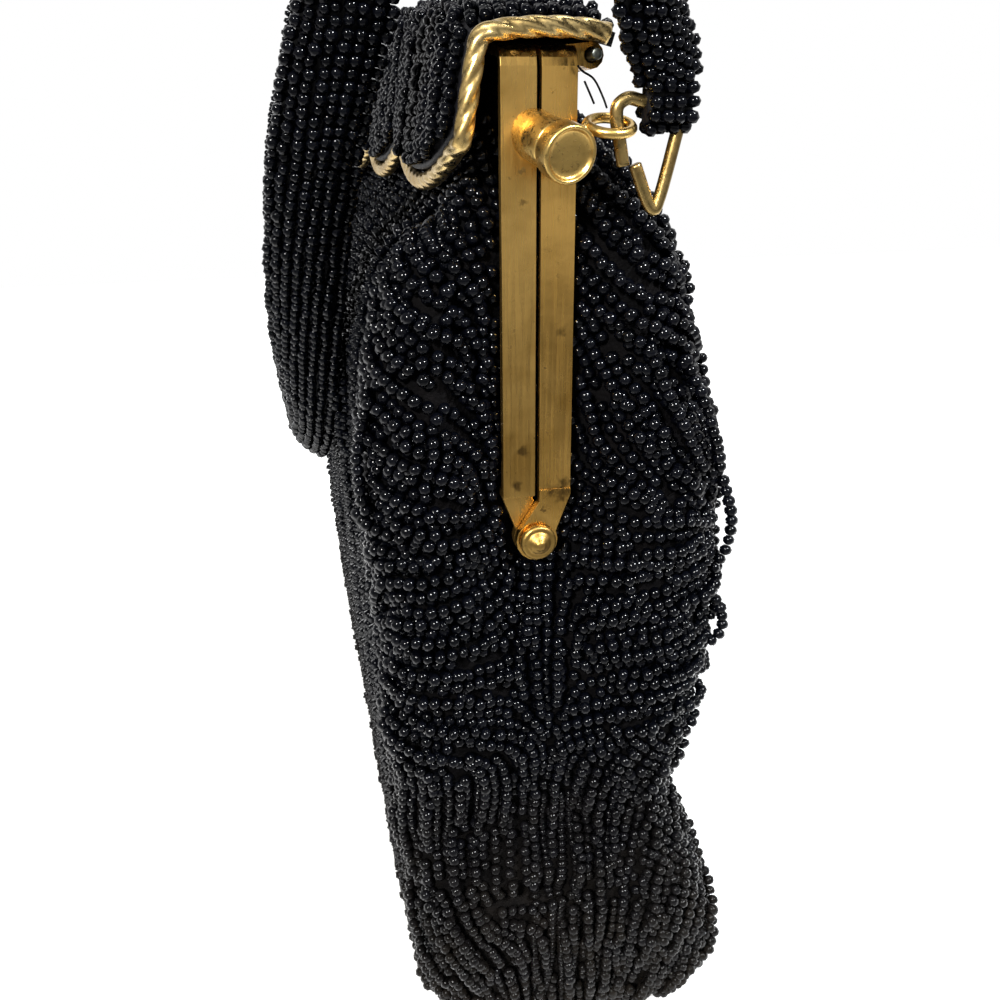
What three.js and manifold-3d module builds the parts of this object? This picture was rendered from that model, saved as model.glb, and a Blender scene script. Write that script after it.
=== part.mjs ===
// A beaded evening bag on a gilt frame, with a hinged flap and a short beaded strap.
// Millimetres, +Z up. X runs along the bag, -Y is its front, and the origin is the
// centre of the base that it stands on.
import * as THREE from "three";
import { mergeVertices } from "three/addons/utils/BufferGeometryUtils.js";
import Module from "manifold-3d";

const wasm = await Module();
wasm.setup();

// Clearance between neighbouring pieces
const GAP = 0.3;

// Frame: two strips bent to an inverted U, closed against each other
const FRAME_Y = -10;
const FRAME_HALF = 104;
const STRIP_WIDTH = 5.4;
const STRIP_THICK = 1.6;
const STRIP_SPLIT = 0.7;
const LEG_TOP = 195;
const TOP_ARCH = 8;
const FRAME_BEND = 3;

// Rivets that join the lower ends of the legs
const RIVET_Z = 119;
const RIVET_SHANK = 1.1;
const RIVET_HEAD = 3.1;
const TAB_RADIUS = 3.6;
const LEG_END = 127;
const TAB_LAP = 1;

// Knobs on the front legs, each with an eye for the strap
const POST_Y = FRAME_Y - 0.4;
const POST_Z = 183.1;
const POST_LEAN = new THREE.Vector3(0.943, 0.227, -0.243).normalize();
const BARREL_FROM = -1.4;
const CAP_FROM = 6.9;
const CAP_TO = 10.3;
const CAP_RADIUS = 4.1;
const KNOB_BARREL = 3.6;
const KNOB_SIDES = 14;
const EYE_CENTRE = new THREE.Vector3(109.4, FRAME_Y + 8.9, 184.4);
const EYE_RADIUS = 3.2;
const EYE_WIRE = 0.75;
const EYE_TILT = 20;
const RING_GAUGE = 0.95;

// Pouch of beaded cloth
const WALL = 2.4;
const RIM_Z = 193;
const VALLEY_WIDTH = 7.5;
const LIFT_Z = 187;

// Flap with its hinge, rope trim and scallops
const FLAP_HALF = 104;
const FLAP_THICK = 2.2;
const FLAP_TOP = 197.9;
const FLAP_BACK_Y = FRAME_Y + 11.2;
const FLAP_BACK_Z = 196.8;
const FLAP_FRONT_Y = FRAME_Y - 10.6;
const FLAP_SLOPE = 0.18;
const LOBES = 4;
const CUSP_Z = 184.5;
const LOBE_DROP = 6.5;
const ROPE_RADIUS = 1.4;
const HINGE_Y = FRAME_Y + 8.3;
const HINGE_Z = 194;
const PIN_RADIUS = 0.8;
const BARREL_RADIUS = 1.9;
const BARREL_HALF = 96.5;
const LUG_LENGTH = 5.3;

// Strap
const STRAP_WIDTH = 13.5;
const STRAP_THICK = 3.8;
const LOOP_Y = FRAME_Y + 17.2;
const LOOP_WIDTH = 7.6;
const LOOP_THICK = 4.8;
const LOOP_BOTTOM = 184.2;

// Pouch sections from the base up. front and back are measured from the frame's plane,
// corner is the plan radius, valley is how far the end is drawn in behind the legs.
const POUCH_SECTIONS = [
  { z: 0, front: -13.5, back: 38.5, half: 96.5, corner: 12, valley: 0 },
  { z: 3, front: -17, back: 42, half: 100, corner: 13, valley: 0 },
  { z: 12, front: -19.5, back: 44, half: 102.5, corner: 14, valley: 0.5 },
  { z: 25, front: -22, back: 43, half: 104, corner: 15, valley: 1 },
  { z: 38, front: -23, back: 38.5, half: 104.5, corner: 15, valley: 1 },
  { z: 48, front: -23.3, back: 35.3, half: 104, corner: 14, valley: 1.5 },
  { z: 57, front: -24, back: 34.5, half: 102.5, corner: 13, valley: 2 },
  { z: 75, front: -25, back: 34.8, half: 103.5, corner: 13, valley: 2.5 },
  { z: 90, front: -25.3, back: 35.8, half: 104.5, corner: 14, valley: 4 },
  { z: 105, front: -25.8, back: 36, half: 105.5, corner: 14, valley: 6.5 },
  { z: 120, front: -26.3, back: 35, half: 106, corner: 14, valley: 9 },
  { z: 134, front: -26.5, back: 32.4, half: 106.5, corner: 14, valley: 9.5 },
  { z: 150, front: -25, back: 28.5, half: 106, corner: 13, valley: 8 },
  { z: 164, front: -20.5, back: 24.5, half: 105, corner: 12, valley: 6.5 },
  { z: 171, front: -10.6, back: 21, half: 103.5, corner: 10, valley: 5 },
  { z: 176, front: -9, back: 17, half: 101, corner: 7, valley: 3 },
  { z: 182, front: -7.6, back: 11.5, half: 97.5, corner: 5, valley: 1 },
  { z: 188, front: -6.4, back: 6, half: 94, corner: 4, valley: 0 },
  { z: RIM_Z, front: -6, back: 6, half: 92, corner: 4, valley: 0 },
];

// Soft pads and creases of the end gussets: y from the frame's plane, rise along X
const END_FOLDS = [
  { name: "front pad", y: -16, z: 140, wide: 5.5, high: 26, rise: 2.2 },
  { name: "back pad", y: 18, z: 130, wide: 7, high: 24, rise: 2.4 },
  { name: "waist", y: 4, z: 57, wide: 34, high: 6, rise: -2.2 },
  { name: "lower pad", y: 2, z: 34, wide: 18, high: 10, rise: 1.6 },
  { name: "crease", y: 1, z: 40, wide: 7, high: 3, rise: -1.8 },
];

// Gathers that run down both faces from the frame
const GATHER_PITCH = 46;
const GATHER_DEPTH = 1.5;
const GATHER_Z = 136;
const GATHER_FADE = 24;

// The waist where the back face folds in near the ends
const WAIST_Z = 57;
const WAIST_HIGH = 8;
const WAIST_DEPTH = 5.5;
const WAIST_FROM = 55;

// Points along each side of a pouch section, extra heights between the rows above, and the
// heights and floor inside
const FACE_STEPS = 16;
const END_STEPS = 10;
const CORNER_STEPS = 4;
const BETWEEN_HEIGHTS = [19, 43, 53, 66, 82, 97, 112, 127, 142, 157];
const INSIDE_HEIGHTS = [12, 38, 57, 90, 120, 150, 164, 171, 188, RIM_Z];
const FLOOR_LENGTH = 0.96;
const FLOOR_DEPTH = 0.9;

// Strap's centre line from its right loop to the middle of its sag in front.
// y is measured from the frame's plane, heading turns the band's width from +Y to -Y, and
// tilt lifts its outer edge about the centre line.
const STRAP_ROUTE = [
  { x: 110.2, y: 14.7, z: 190.2, heading: 0, tilt: 0 },
  { x: 112.4, y: 12.2, z: 200, heading: 33, tilt: 0 },
  { x: 114, y: 7.5, z: 213, heading: 55, tilt: 0 },
  { x: 112, y: 0, z: 225.5, heading: 73, tilt: 0 },
  { x: 107.2, y: -9, z: 232, heading: 92, tilt: 0 },
  { x: 101.5, y: -17, z: 228.5, heading: 114, tilt: 0 },
  { x: 97, y: -22.4, z: 217, heading: 143, tilt: 0 },
  { x: 93, y: -25.6, z: 202, heading: 167, tilt: 0 },
  { x: 86, y: -30.2, z: 186, heading: 180, tilt: 4 },
  { x: 73, y: -33.4, z: 166, heading: 180, tilt: 12 },
  { x: 56, y: -34.6, z: 146, heading: 180, tilt: 30 },
  { x: 32, y: -34.6, z: 123, heading: 180, tilt: 52 },
  { x: 0, y: -34.6, z: 112, heading: 180, tilt: 65 },
];

// The wire of a strap ring, an open triangle: y from the frame's plane, x as given
const RING_X = 110;
const RING_WIRE = [
  { y: 10.9, z: 179.1 },
  { y: 10.2, z: 182.6 },
  { y: 9.7, z: 185 },
  { y: 9.8, z: 187 },
  { y: 11.3, z: 188 },
  { y: 13.5, z: 187.6 },
  { y: 18.4, z: 187.2 },
  { y: 19.6, z: 186.2 },
  { y: 19.1, z: 184.4 },
  { y: 16.6, z: 174.3 },
  { y: 15.9, z: 172.8 },
  { y: 15.1, z: 173.6 },
  { y: 12.7, z: 179.1 },
];

const X_AXIS = new THREE.Vector3(1, 0, 0);
const Y_AXIS = new THREE.Vector3(0, 1, 0);
const Z_AXIS = new THREE.Vector3(0, 0, 1);

// Materials
function gilt(color) {
  return new THREE.MeshStandardMaterial({ color, roughness: 0.32, metalness: 1 });
}

function beaded(color) {
  return new THREE.MeshStandardMaterial({ color, roughness: 0.35, metalness: 0 });
}

// Solids for cutting and joining
function solidOf(geometry) {
  const bare = geometry.index ? geometry.toNonIndexed() : geometry.clone();
  bare.deleteAttribute("normal");
  bare.deleteAttribute("uv");
  const merged = mergeVertices(bare, 1e-4);
  const mesh = new wasm.Mesh({
    numProp: 3,
    vertProperties: merged.attributes.position.array,
    triVerts: new Uint32Array(merged.index.array),
  });
  return new wasm.Manifold(mesh);
}

function geometryOf(solid) {
  const mesh = solid.getMesh();
  const geometry = new THREE.BufferGeometry();
  const positions = new THREE.BufferAttribute(mesh.vertProperties, mesh.numProp);
  geometry.setAttribute("position", positions);
  geometry.setIndex(new THREE.BufferAttribute(mesh.triVerts, 1));
  const flat = geometry.toNonIndexed();
  flat.computeVertexNormals();
  return flat;
}

// The open skin through rings of equal count.
// Each ring runs anticlockwise seen against the direction of the rings.
function skin(rings) {
  const sides = rings[0].length;
  const positions = rings.flat().flatMap((point) => point.toArray());
  const index = [];
  for (let i = 0; i + 1 < rings.length; i++) {
    for (let j = 0; j < sides; j++) {
      const k = (j + 1) % sides;
      const here = i * sides;
      const next = here + sides;
      index.push(here + j, here + k, next + k);
      index.push(here + j, next + k, next + j);
    }
  }
  const last = (rings.length - 1) * sides;
  return { sides, positions, index, last };
}

// A closed body through rings, with a fan at each end
function loft(rings) {
  const { sides, positions, index, last } = skin(rings);
  const first = middle(rings[0]);
  const end = middle(rings[rings.length - 1]);
  positions.push(first.x, first.y, first.z, end.x, end.y, end.z);
  const firstAt = rings.length * sides;
  for (let j = 0; j < sides; j++) {
    const k = (j + 1) % sides;
    index.push(firstAt, k, j);
    index.push(firstAt + 1, last + j, last + k);
  }
  return indexed(positions, index);
}

function indexed(positions, index) {
  const geometry = new THREE.BufferGeometry();
  geometry.setAttribute("position", new THREE.Float32BufferAttribute(positions, 3));
  geometry.setIndex(index);
  geometry.computeVertexNormals();
  return geometry;
}

function middle(ring) {
  const sum = new THREE.Vector3();
  for (const point of ring) sum.add(point);
  return sum.divideScalar(ring.length);
}

// A round wire along points, turned without twist
function wire(points, radius, sides) {
  const rings = [];
  let across = null;
  points.forEach((point, i) => {
    const before = points[Math.max(i - 1, 0)];
    const after = points[Math.min(i + 1, points.length - 1)];
    const along = after.clone().sub(before).normalize();
    if (!across) {
      const helper = Math.abs(along.x) > 0.8 ? Z_AXIS : X_AXIS;
      across = helper.clone().cross(along);
    }
    across.addScaledVector(along, -across.dot(along)).normalize();
    const up = along.clone().cross(across);
    const ring = [];
    for (let j = 0; j < sides; j++) {
      const angle = (2 * Math.PI * j) / sides;
      const spoke = across.clone().multiplyScalar(Math.cos(angle) * radius);
      spoke.addScaledVector(up, Math.sin(angle) * radius);
      ring.push(spoke.add(point));
    }
    rings.push(ring);
  });
  return loft(rings);
}

// A turned piece about the line through centre along direction: rows of [distance, radius]
function turned(profile, centre, direction, sides) {
  const outline = profile.map(([along, radius]) => new THREE.Vector2(radius, along));
  const geometry = new THREE.LatheGeometry(outline, sides);
  const spin = new THREE.Quaternion().setFromUnitVectors(Y_AXIS, direction);
  geometry.applyQuaternion(spin);
  return geometry.translate(centre.x, centre.y, centre.z);
}

function rod(radius, from, to, y, z, sides) {
  const profile = [[from, 0], [from, radius], [to, radius], [to, 0]];
  return turned(profile, new THREE.Vector3(0, y, z), X_AXIS, sides);
}

// A plate across X: an outline of [y, z] points and its range of x
function plate(outline, from, to) {
  const shape = new THREE.Shape(outline.map(([y, z]) => new THREE.Vector2(y, z)));
  const settings = { depth: to - from, bevelEnabled: false };
  const geometry = new THREE.ExtrudeGeometry(shape, settings);
  geometry.applyMatrix4(new THREE.Matrix4().makeBasis(Y_AXIS, Z_AXIS, X_AXIS));
  return geometry.translate(from, 0, 0);
}

function mirrored(geometry) {
  const copy = geometry.index ? geometry.toNonIndexed() : geometry.clone();
  copy.scale(-1, 1, 1);
  const position = copy.attributes.position;
  for (let i = 0; i < position.count; i += 3) {
    const a = new THREE.Vector3().fromBufferAttribute(position, i + 1);
    const b = new THREE.Vector3().fromBufferAttribute(position, i + 2);
    position.setXYZ(i + 1, b.x, b.y, b.z);
    position.setXYZ(i + 2, a.x, a.y, a.z);
  }
  copy.computeVertexNormals();
  return copy;
}

// The rise of the frame's arched top above its corners
function arch(x) {
  const part = Math.min(Math.abs(x) / FRAME_HALF, 1);
  return TOP_ARCH * (1 - part * part);
}

function smooth(from, to, value) {
  return THREE.MathUtils.smoothstep(value, from, to);
}

function bell(value, width) {
  return Math.exp(-(value * value) / (2 * width * width));
}

// Pouch
function sectionAt(z) {
  const rows = POUCH_SECTIONS;
  let i = 0;
  while (i + 2 < rows.length && z > rows[i + 1].z) i++;
  const a = rows[i];
  const b = rows[i + 1];
  const part = THREE.MathUtils.clamp((z - a.z) / (b.z - a.z), 0, 1);
  const section = {};
  for (const key of ["front", "back", "half", "corner", "valley"]) {
    section[key] = THREE.MathUtils.lerp(a[key], b[key], part);
  }
  return section;
}

// How far an end gusset stands out at y (from the frame's plane) and z
function endRise(y, z, valley) {
  let rise = -valley * bell(y, VALLEY_WIDTH);
  for (const fold of END_FOLDS) {
    rise += fold.rise * bell(y - fold.y, fold.wide) * bell(z - fold.z, fold.high);
  }
  return rise;
}

// How far the front or back face stands out at x and z; side is -1 in front, 1 behind
function faceRise(x, z, side) {
  const wave = Math.cos((2 * Math.PI * x) / GATHER_PITCH) - 0.5;
  const gather = GATHER_DEPTH * wave * bell(z - GATHER_Z, GATHER_FADE);
  const towardEnd = smooth(WAIST_FROM, FRAME_HALF, Math.abs(x));
  const waist = side > 0 ? WAIST_DEPTH * bell(z - WAIST_Z, WAIST_HIGH) * towardEnd : 0;
  return gather - waist;
}

// One ring of the pouch at height z, set in from its outside by inset
function pouchRing(z, inset, steps) {
  const section = sectionAt(z);
  const half = section.half - inset;
  const front = section.front + inset;
  const back = section.back - inset;
  const radius = Math.max(section.corner - inset, 1.5);
  const centre = (front + back) / 2;
  const depth = (back - front) / 2;
  const ring = [];
  const place = (x, y) => {
    const toEnd = smooth(half - radius, half, Math.abs(x));
    const toFace = smooth(depth - radius, depth, Math.abs(y - centre));
    const endwise = Math.sign(x) * endRise(y, z, section.valley) * toEnd;
    const side = Math.sign(y - centre);
    const facewise = side * faceRise(x, z, side) * toFace;
    const lift = arch(x) * smooth(LIFT_Z, RIM_Z, z);
    ring.push(new THREE.Vector3(x + endwise, FRAME_Y + y + facewise, z + lift));
  };
  const straight = (x0, y0, x1, y1, count) => {
    for (let i = 0; i < count; i++) {
      const part = i / count;
      place(THREE.MathUtils.lerp(x0, x1, part), THREE.MathUtils.lerp(y0, y1, part));
    }
  };
  const corner = (x, y, start) => {
    for (let i = 0; i < steps.corner; i++) {
      const angle = start + ((Math.PI / 2) * i) / steps.corner;
      place(x + radius * Math.cos(angle), y + radius * Math.sin(angle));
    }
  };
  const inner = half - radius;
  straight(-inner, front, inner, front, steps.face);
  corner(inner, front + radius, -Math.PI / 2);
  straight(half, front + radius, half, back - radius, steps.end);
  corner(inner, back - radius, 0);
  straight(inner, back, -inner, back, steps.face);
  corner(-inner, back - radius, Math.PI / 2);
  straight(-half, back - radius, -half, front + radius, steps.end);
  corner(-inner, front + radius, Math.PI);
  return ring;
}

function pouch() {
  const outerSteps = { face: FACE_STEPS, end: END_STEPS, corner: CORNER_STEPS };
  const innerSteps = { face: FACE_STEPS / 2, end: END_STEPS / 2, corner: CORNER_STEPS / 2 };
  const heights = POUCH_SECTIONS.map((row) => row.z);
  const levels = [...heights, ...BETWEEN_HEIGHTS].sort((a, b) => a - b);
  const outer = loft(levels.map((z) => pouchRing(z, 0, outerSteps)));
  const inside = INSIDE_HEIGHTS.map((z) => pouchRing(z, WALL, innerSteps));
  const floor = inside[0].map(
    (point) => new THREE.Vector3(point.x * FLOOR_LENGTH, point.y * FLOOR_DEPTH, WALL),
  );
  const mouth = inside[inside.length - 1].map((point) => point.clone().add(Z_AXIS));
  const hollow = loft([floor, ...inside, mouth]);
  return geometryOf(solidOf(outer).subtract(solidOf(hollow)));
}

// Frame
function frameOutline(inset, bottom) {
  const half = FRAME_HALF - inset;
  const bend = Math.max(FRAME_BEND - inset, 0.8);
  const shoulder = half - bend;
  const top = (x) => LEG_TOP - inset + arch(x);
  const right = [[half, bottom]];
  const bendSteps = 4;
  for (let i = 0; i <= bendSteps; i++) {
    const angle = ((Math.PI / 2) * i) / bendSteps;
    const x = shoulder + bend * Math.cos(angle);
    right.push([x, top(shoulder) - bend + bend * Math.sin(angle)]);
  }
  const archSteps = 6;
  for (let i = 1; i <= archSteps; i++) {
    const x = shoulder * (1 - i / archSteps);
    right.push([x, top(x)]);
  }
  const left = right.slice(0, -1).reverse().map(([x, z]) => [-x, z]);
  return [...right, ...left];
}

// The bent strip, from y = near to y = near + STRIP_WIDTH
function strip(near) {
  const outer = frameOutline(0, LEG_END);
  const inner = frameOutline(STRIP_THICK, LEG_END).reverse();
  const shape = new THREE.Shape([...outer, ...inner].map(([x, z]) => new THREE.Vector2(x, z)));
  const settings = { depth: STRIP_WIDTH, bevelEnabled: false };
  const geometry = new THREE.ExtrudeGeometry(shape, settings);
  geometry.rotateX(Math.PI / 2);
  return solidOf(geometry.translate(0, near + STRIP_WIDTH, 0));
}

// Outline of a tab that leads a leg in to the rivet; side is -1 in front, 1 behind
function tabOutline(side) {
  const inside = STRIP_SPLIT / 2;
  const outside = inside + STRIP_WIDTH;
  const outline = [[inside, LEG_END + TAB_LAP], [inside, LEG_END - 1]];
  const arcSteps = 10;
  for (let i = 0; i <= arcSteps; i++) {
    const angle = Math.PI * (0.86 + (1.28 * i) / arcSteps);
    outline.push([TAB_RADIUS * Math.cos(angle), RIVET_Z + TAB_RADIUS * Math.sin(angle)]);
  }
  outline.push([outside, LEG_END], [outside, LEG_END + TAB_LAP]);
  return outline.map(([y, z]) => [FRAME_Y + side * y, z]);
}

function bothEnds(geometry) {
  return solidOf(geometry).add(solidOf(mirrored(geometry)));
}

function rivetBores() {
  return solidOf(rod(RIVET_SHANK + GAP, -FRAME_HALF - 5, FRAME_HALF + 5, FRAME_Y, RIVET_Z, 12));
}

function frontFrame() {
  const back = FRAME_HALF - STRIP_THICK;
  const tab = plate(tabOutline(-1).reverse(), back - STRIP_THICK - GAP, back + 0.1);
  const near = FRAME_Y - STRIP_SPLIT / 2 - STRIP_WIDTH;
  return geometryOf(strip(near).add(bothEnds(tab)).subtract(rivetBores()));
}

function hingeLug() {
  const length = LUG_LENGTH;
  const from = BARREL_HALF + GAP;
  const foot = [
    [FRAME_Y + STRIP_WIDTH - 1, HINGE_Z - 1],
    [HINGE_Y, HINGE_Z - BARREL_RADIUS + 0.1],
    [HINGE_Y, HINGE_Z + BARREL_RADIUS - 0.1],
    [FRAME_Y + STRIP_WIDTH - 1, HINGE_Z + 1.4],
  ];
  const barrel = rod(BARREL_RADIUS, from, from + length, HINGE_Y, HINGE_Z, 12);
  return solidOf(plate(foot, from, from + length)).add(solidOf(barrel));
}

function pinBore() {
  return solidOf(rod(PIN_RADIUS + GAP, -FRAME_HALF - 5, FRAME_HALF + 5, HINGE_Y, HINGE_Z, 12));
}

function backFrame() {
  const back = FRAME_HALF - STRIP_THICK;
  const tab = plate(tabOutline(1), back + GAP, FRAME_HALF + GAP);
  const lugs = bothEnds(geometryOf(hingeLug())).subtract(pinBore());
  const near = FRAME_Y + STRIP_SPLIT / 2;
  return geometryOf(strip(near).add(bothEnds(tab)).subtract(rivetBores()).add(lugs));
}

function rivet() {
  const back = FRAME_HALF - 2 * STRIP_THICK - 2 * GAP;
  const face = FRAME_HALF + 2 * GAP;
  const profile = [
    [back - 1.1, 0],
    [back - 1.1, RIVET_HEAD * 0.65],
    [back - 0.1, RIVET_HEAD * 0.75],
    [back - 0.1, RIVET_SHANK],
    [face, RIVET_SHANK],
    [face, RIVET_HEAD],
    [face + 0.7, RIVET_HEAD],
    [face + 1.5, RIVET_HEAD * 0.74],
    [face + 1.8, RIVET_HEAD * 0.42],
    [face + 2.3, RIVET_HEAD * 0.3],
    [face + 2.5, 0],
  ];
  return turned(profile, new THREE.Vector3(0, FRAME_Y, RIVET_Z), X_AXIS, 14);
}

// Knob: a leaning barrel cut off flat on the leg, a groove and a dished cap, with an eye
// soldered to its side
function post() {
  const seat = new THREE.Vector3(FRAME_HALF + GAP, POST_Y, POST_Z);
  const groove = KNOB_BARREL - 0.25;
  const rim = 0.35;
  const profile = [
    [BARREL_FROM, 0],
    [BARREL_FROM, KNOB_BARREL],
    [CAP_FROM - 0.5, KNOB_BARREL + 0.1],
    [CAP_FROM - 0.4, groove],
    [CAP_FROM, groove],
    [CAP_FROM + 0.1, CAP_RADIUS - 0.15],
    [CAP_FROM + 0.4, CAP_RADIUS],
    [CAP_TO - rim, CAP_RADIUS],
    [CAP_TO, CAP_RADIUS - rim],
    [CAP_TO - 0.1, CAP_RADIUS - 2 * rim],
    [CAP_TO - 0.7, CAP_RADIUS - 3.5 * rim],
    [CAP_TO - 0.8, 0],
  ];
  const behindLeg = new THREE.BoxGeometry(10, 20, 20);
  behindLeg.translate(seat.x - 5, seat.y, seat.z);
  const turnedKnob = solidOf(turned(profile, seat, POST_LEAN, KNOB_SIDES));
  const knob = turnedKnob.subtract(solidOf(behindLeg));
  const eye = new THREE.TorusGeometry(EYE_RADIUS, EYE_WIRE, 6, 14);
  eye.rotateY(THREE.MathUtils.degToRad(EYE_TILT));
  eye.translate(EYE_CENTRE.x, EYE_CENTRE.y, EYE_CENTRE.z);
  const root = new THREE.Vector3().copy(seat).addScaledVector(POST_LEAN, CAP_FROM - 0.2);
  const touch = new THREE.Vector3(EYE_CENTRE.x, EYE_CENTRE.y - EYE_RADIUS, EYE_CENTRE.z);
  const stem = wire([root, touch], EYE_WIRE * 1.2, 8);
  return geometryOf(knob.add(solidOf(eye)).add(solidOf(stem)));
}

// Strap rings
function ringPoints() {
  return RING_WIRE.map(({ y, z }) => new THREE.Vector3(RING_X, FRAME_Y + y, z));
}

function strapRing() {
  return wire(ringPoints(), RING_GAUGE, 6);
}

// Strap
function strapRings() {
  const centre = (row) => new THREE.Vector3(row.x, FRAME_Y + row.y, row.z);
  const right = STRAP_ROUTE.map(centre);
  const left = right.slice(0, -1).reverse().map((p) => new THREE.Vector3(-p.x, p.y, p.z));
  const headings = STRAP_ROUTE.map((row) => row.heading);
  const leftHeadings = headings.slice(0, -1).reverse().map((angle) => -angle);
  const turns = [...headings, ...leftHeadings.map((angle) => angle + 360)];
  const rightTilts = STRAP_ROUTE.map((row) => row.tilt);
  const tilts = [...rightTilts, ...rightTilts.slice(0, -1).reverse()];
  const route = new THREE.CatmullRomCurve3([...right, ...left], false, "centripetal");
  const steps = 60;
  const rings = [];
  for (let i = 0; i <= steps; i++) {
    const part = i / steps;
    const along = route.getTangent(part);
    const place = part * (turns.length - 1);
    const row = Math.min(Math.floor(place), turns.length - 2);
    const turn = THREE.MathUtils.lerp(turns[row], turns[row + 1], place - row);
    const angle = THREE.MathUtils.degToRad(turn);
    const lift = THREE.MathUtils.lerp(tilts[row], tilts[row + 1], place - row);
    const across = new THREE.Vector3(-Math.sin(angle), Math.cos(angle), 0);
    across.addScaledVector(along, -across.dot(along)).normalize();
    across.applyAxisAngle(along, THREE.MathUtils.degToRad(lift));
    const outward = across.clone().cross(along);
    const section = strapSection();
    const ring = section.map(([wide, thick]) => {
      const point = route.getPoint(part).addScaledVector(across, wide);
      return point.addScaledVector(outward, thick);
    });
    rings.push(ring);
  }
  return rings;
}

// Half-round edges, crowned outer side: points of [across, outward]
function strapSection() {
  const wide = STRAP_WIDTH / 2;
  const thick = STRAP_THICK / 2;
  return [
    [wide, 0],
    [wide * 0.78, -thick],
    [-wide * 0.78, -thick],
    [-wide, 0],
    [-wide * 0.7, thick * 0.85],
    [0, thick],
    [wide * 0.7, thick * 0.85],
  ];
}

function strap() {
  const band = solidOf(loft(strapRings()));
  const first = STRAP_ROUTE[0];
  const half = LOOP_WIDTH / 2;
  const loop = plate(
    [
      [LOOP_Y - half, LOOP_BOTTOM],
      [LOOP_Y + half, LOOP_BOTTOM],
      [LOOP_Y + half, first.z + 1],
      [LOOP_Y - half, first.z + 1],
    ],
    RING_X - LOOP_THICK / 2,
    RING_X + LOOP_THICK / 2,
  );
  const bore = wire(ringPoints(), RING_GAUGE + GAP, 6);
  return geometryOf(band.add(bothEnds(loop)).subtract(bothEnds(bore)));
}

// Flap
function lobeEdge(x) {
  const pitch = (2 * FLAP_HALF) / LOBES;
  const offset = ((((x + FLAP_HALF) % pitch) + pitch) % pitch) - pitch / 2;
  const radius = ((pitch / 2) ** 2 + LOBE_DROP ** 2) / (2 * LOBE_DROP);
  const rise = radius - Math.sqrt(radius * radius - offset * offset);
  const atEnd = Math.abs(x) >= FLAP_HALF;
  return atEnd ? CUSP_Z : CUSP_Z - LOBE_DROP + rise;
}

// The outside of the flap at x, from its back edge over the top to its scalloped edge: [y, z]
function flapProfile(x, bottom) {
  const top = FLAP_TOP + arch(x);
  const slope = (z) => FLAP_FRONT_Y - FLAP_SLOPE * (top - 3 - z);
  const front = [0.3, 0.62, 1].map((part) => {
    const z = THREE.MathUtils.lerp(top - 3, bottom, part);
    return [slope(z), z];
  });
  return [
    [FLAP_BACK_Y, FLAP_BACK_Z],
    [FLAP_BACK_Y, top - 1.5],
    [FLAP_BACK_Y - 1.2, top],
    [FRAME_Y + 1, top + 0.7],
    [FLAP_FRONT_Y + 3, top],
    [FLAP_FRONT_Y + 0.7, top - 1],
    [FLAP_FRONT_Y, top - 3],
    ...front,
  ];
}

// The same profile set in by a distance, in its own plane
function setIn(profile, distance) {
  return profile.map(([y, z], i) => {
    const before = profile[Math.max(i - 1, 0)];
    const after = profile[Math.min(i + 1, profile.length - 1)];
    const length = Math.hypot(after[0] - before[0], after[1] - before[1]);
    const inwardY = -(after[1] - before[1]) / length;
    const inwardZ = (after[0] - before[0]) / length;
    return [y + inwardY * distance, z + inwardZ * distance];
  });
}

function flapPanel() {
  const steps = LOBES * 8;
  const rings = [];
  for (let i = 0; i <= steps; i++) {
    const x = FLAP_HALF * ((2 * i) / steps - 1);
    const outside = flapProfile(x, lobeEdge(x));
    const inside = setIn(outside, FLAP_THICK).reverse();
    rings.push([...outside, ...inside].map(([y, z]) => new THREE.Vector3(x, y, z)));
  }
  const sheet = solidOf(sheetLoft(rings));
  const web = plate(
    [
      [HINGE_Y, HINGE_Z],
      [FLAP_BACK_Y - 0.2, HINGE_Z],
      [FLAP_BACK_Y - 0.2, FLAP_BACK_Z + 0.6],
      [FLAP_BACK_Y - FLAP_THICK + 0.3, FLAP_BACK_Z + 0.6],
    ],
    -BARREL_HALF,
    BARREL_HALF,
  );
  const barrel = rod(BARREL_RADIUS, -BARREL_HALF, BARREL_HALF, HINGE_Y, HINGE_Z, 12);
  return geometryOf(sheet.add(solidOf(web)).add(solidOf(barrel)).subtract(pinBore()));
}

// A loft of thin C-shaped rings, whose ends are closed by strips between outside and inside
function sheetLoft(rings) {
  const { sides, positions, index, last } = skin(rings);
  for (let j = 0; j + 1 < sides / 2; j++) {
    const a = j;
    const b = j + 1;
    const c = sides - 2 - j;
    const d = sides - 1 - j;
    index.push(a, c, b, a, d, c);
    index.push(last + a, last + b, last + c, last + a, last + c, last + d);
  }
  return indexed(positions, index);
}

function flapRope() {
  const out = FLAP_HALF + ROPE_RADIUS + GAP;
  const drop = ROPE_RADIUS + 2 * GAP;
  const end = setIn(flapProfile(FLAP_HALF, CUSP_Z - drop), FLAP_THICK / 2);
  const right = end.slice(1).map(([y, z]) => new THREE.Vector3(out, y, z));
  const bottom = [];
  const steps = LOBES * 12;
  for (let i = 1; i < steps; i++) {
    const x = FLAP_HALF * (1 - (2 * i) / steps);
    const z = lobeEdge(x) - drop;
    const profile = setIn(flapProfile(x, z), FLAP_THICK / 2);
    bottom.push(new THREE.Vector3(x, profile[profile.length - 1][0], z));
  }
  const left = right.map((point) => new THREE.Vector3(-point.x, point.y, point.z)).reverse();
  return wire([...right, ...bottom, ...left], ROPE_RADIUS, 8);
}

function hingePin() {
  const reach = BARREL_HALF + LUG_LENGTH + 3;
  return rod(PIN_RADIUS, -reach, reach, HINGE_Y, HINGE_Z, 8);
}

// Assembly
const bag = new THREE.Group();

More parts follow.
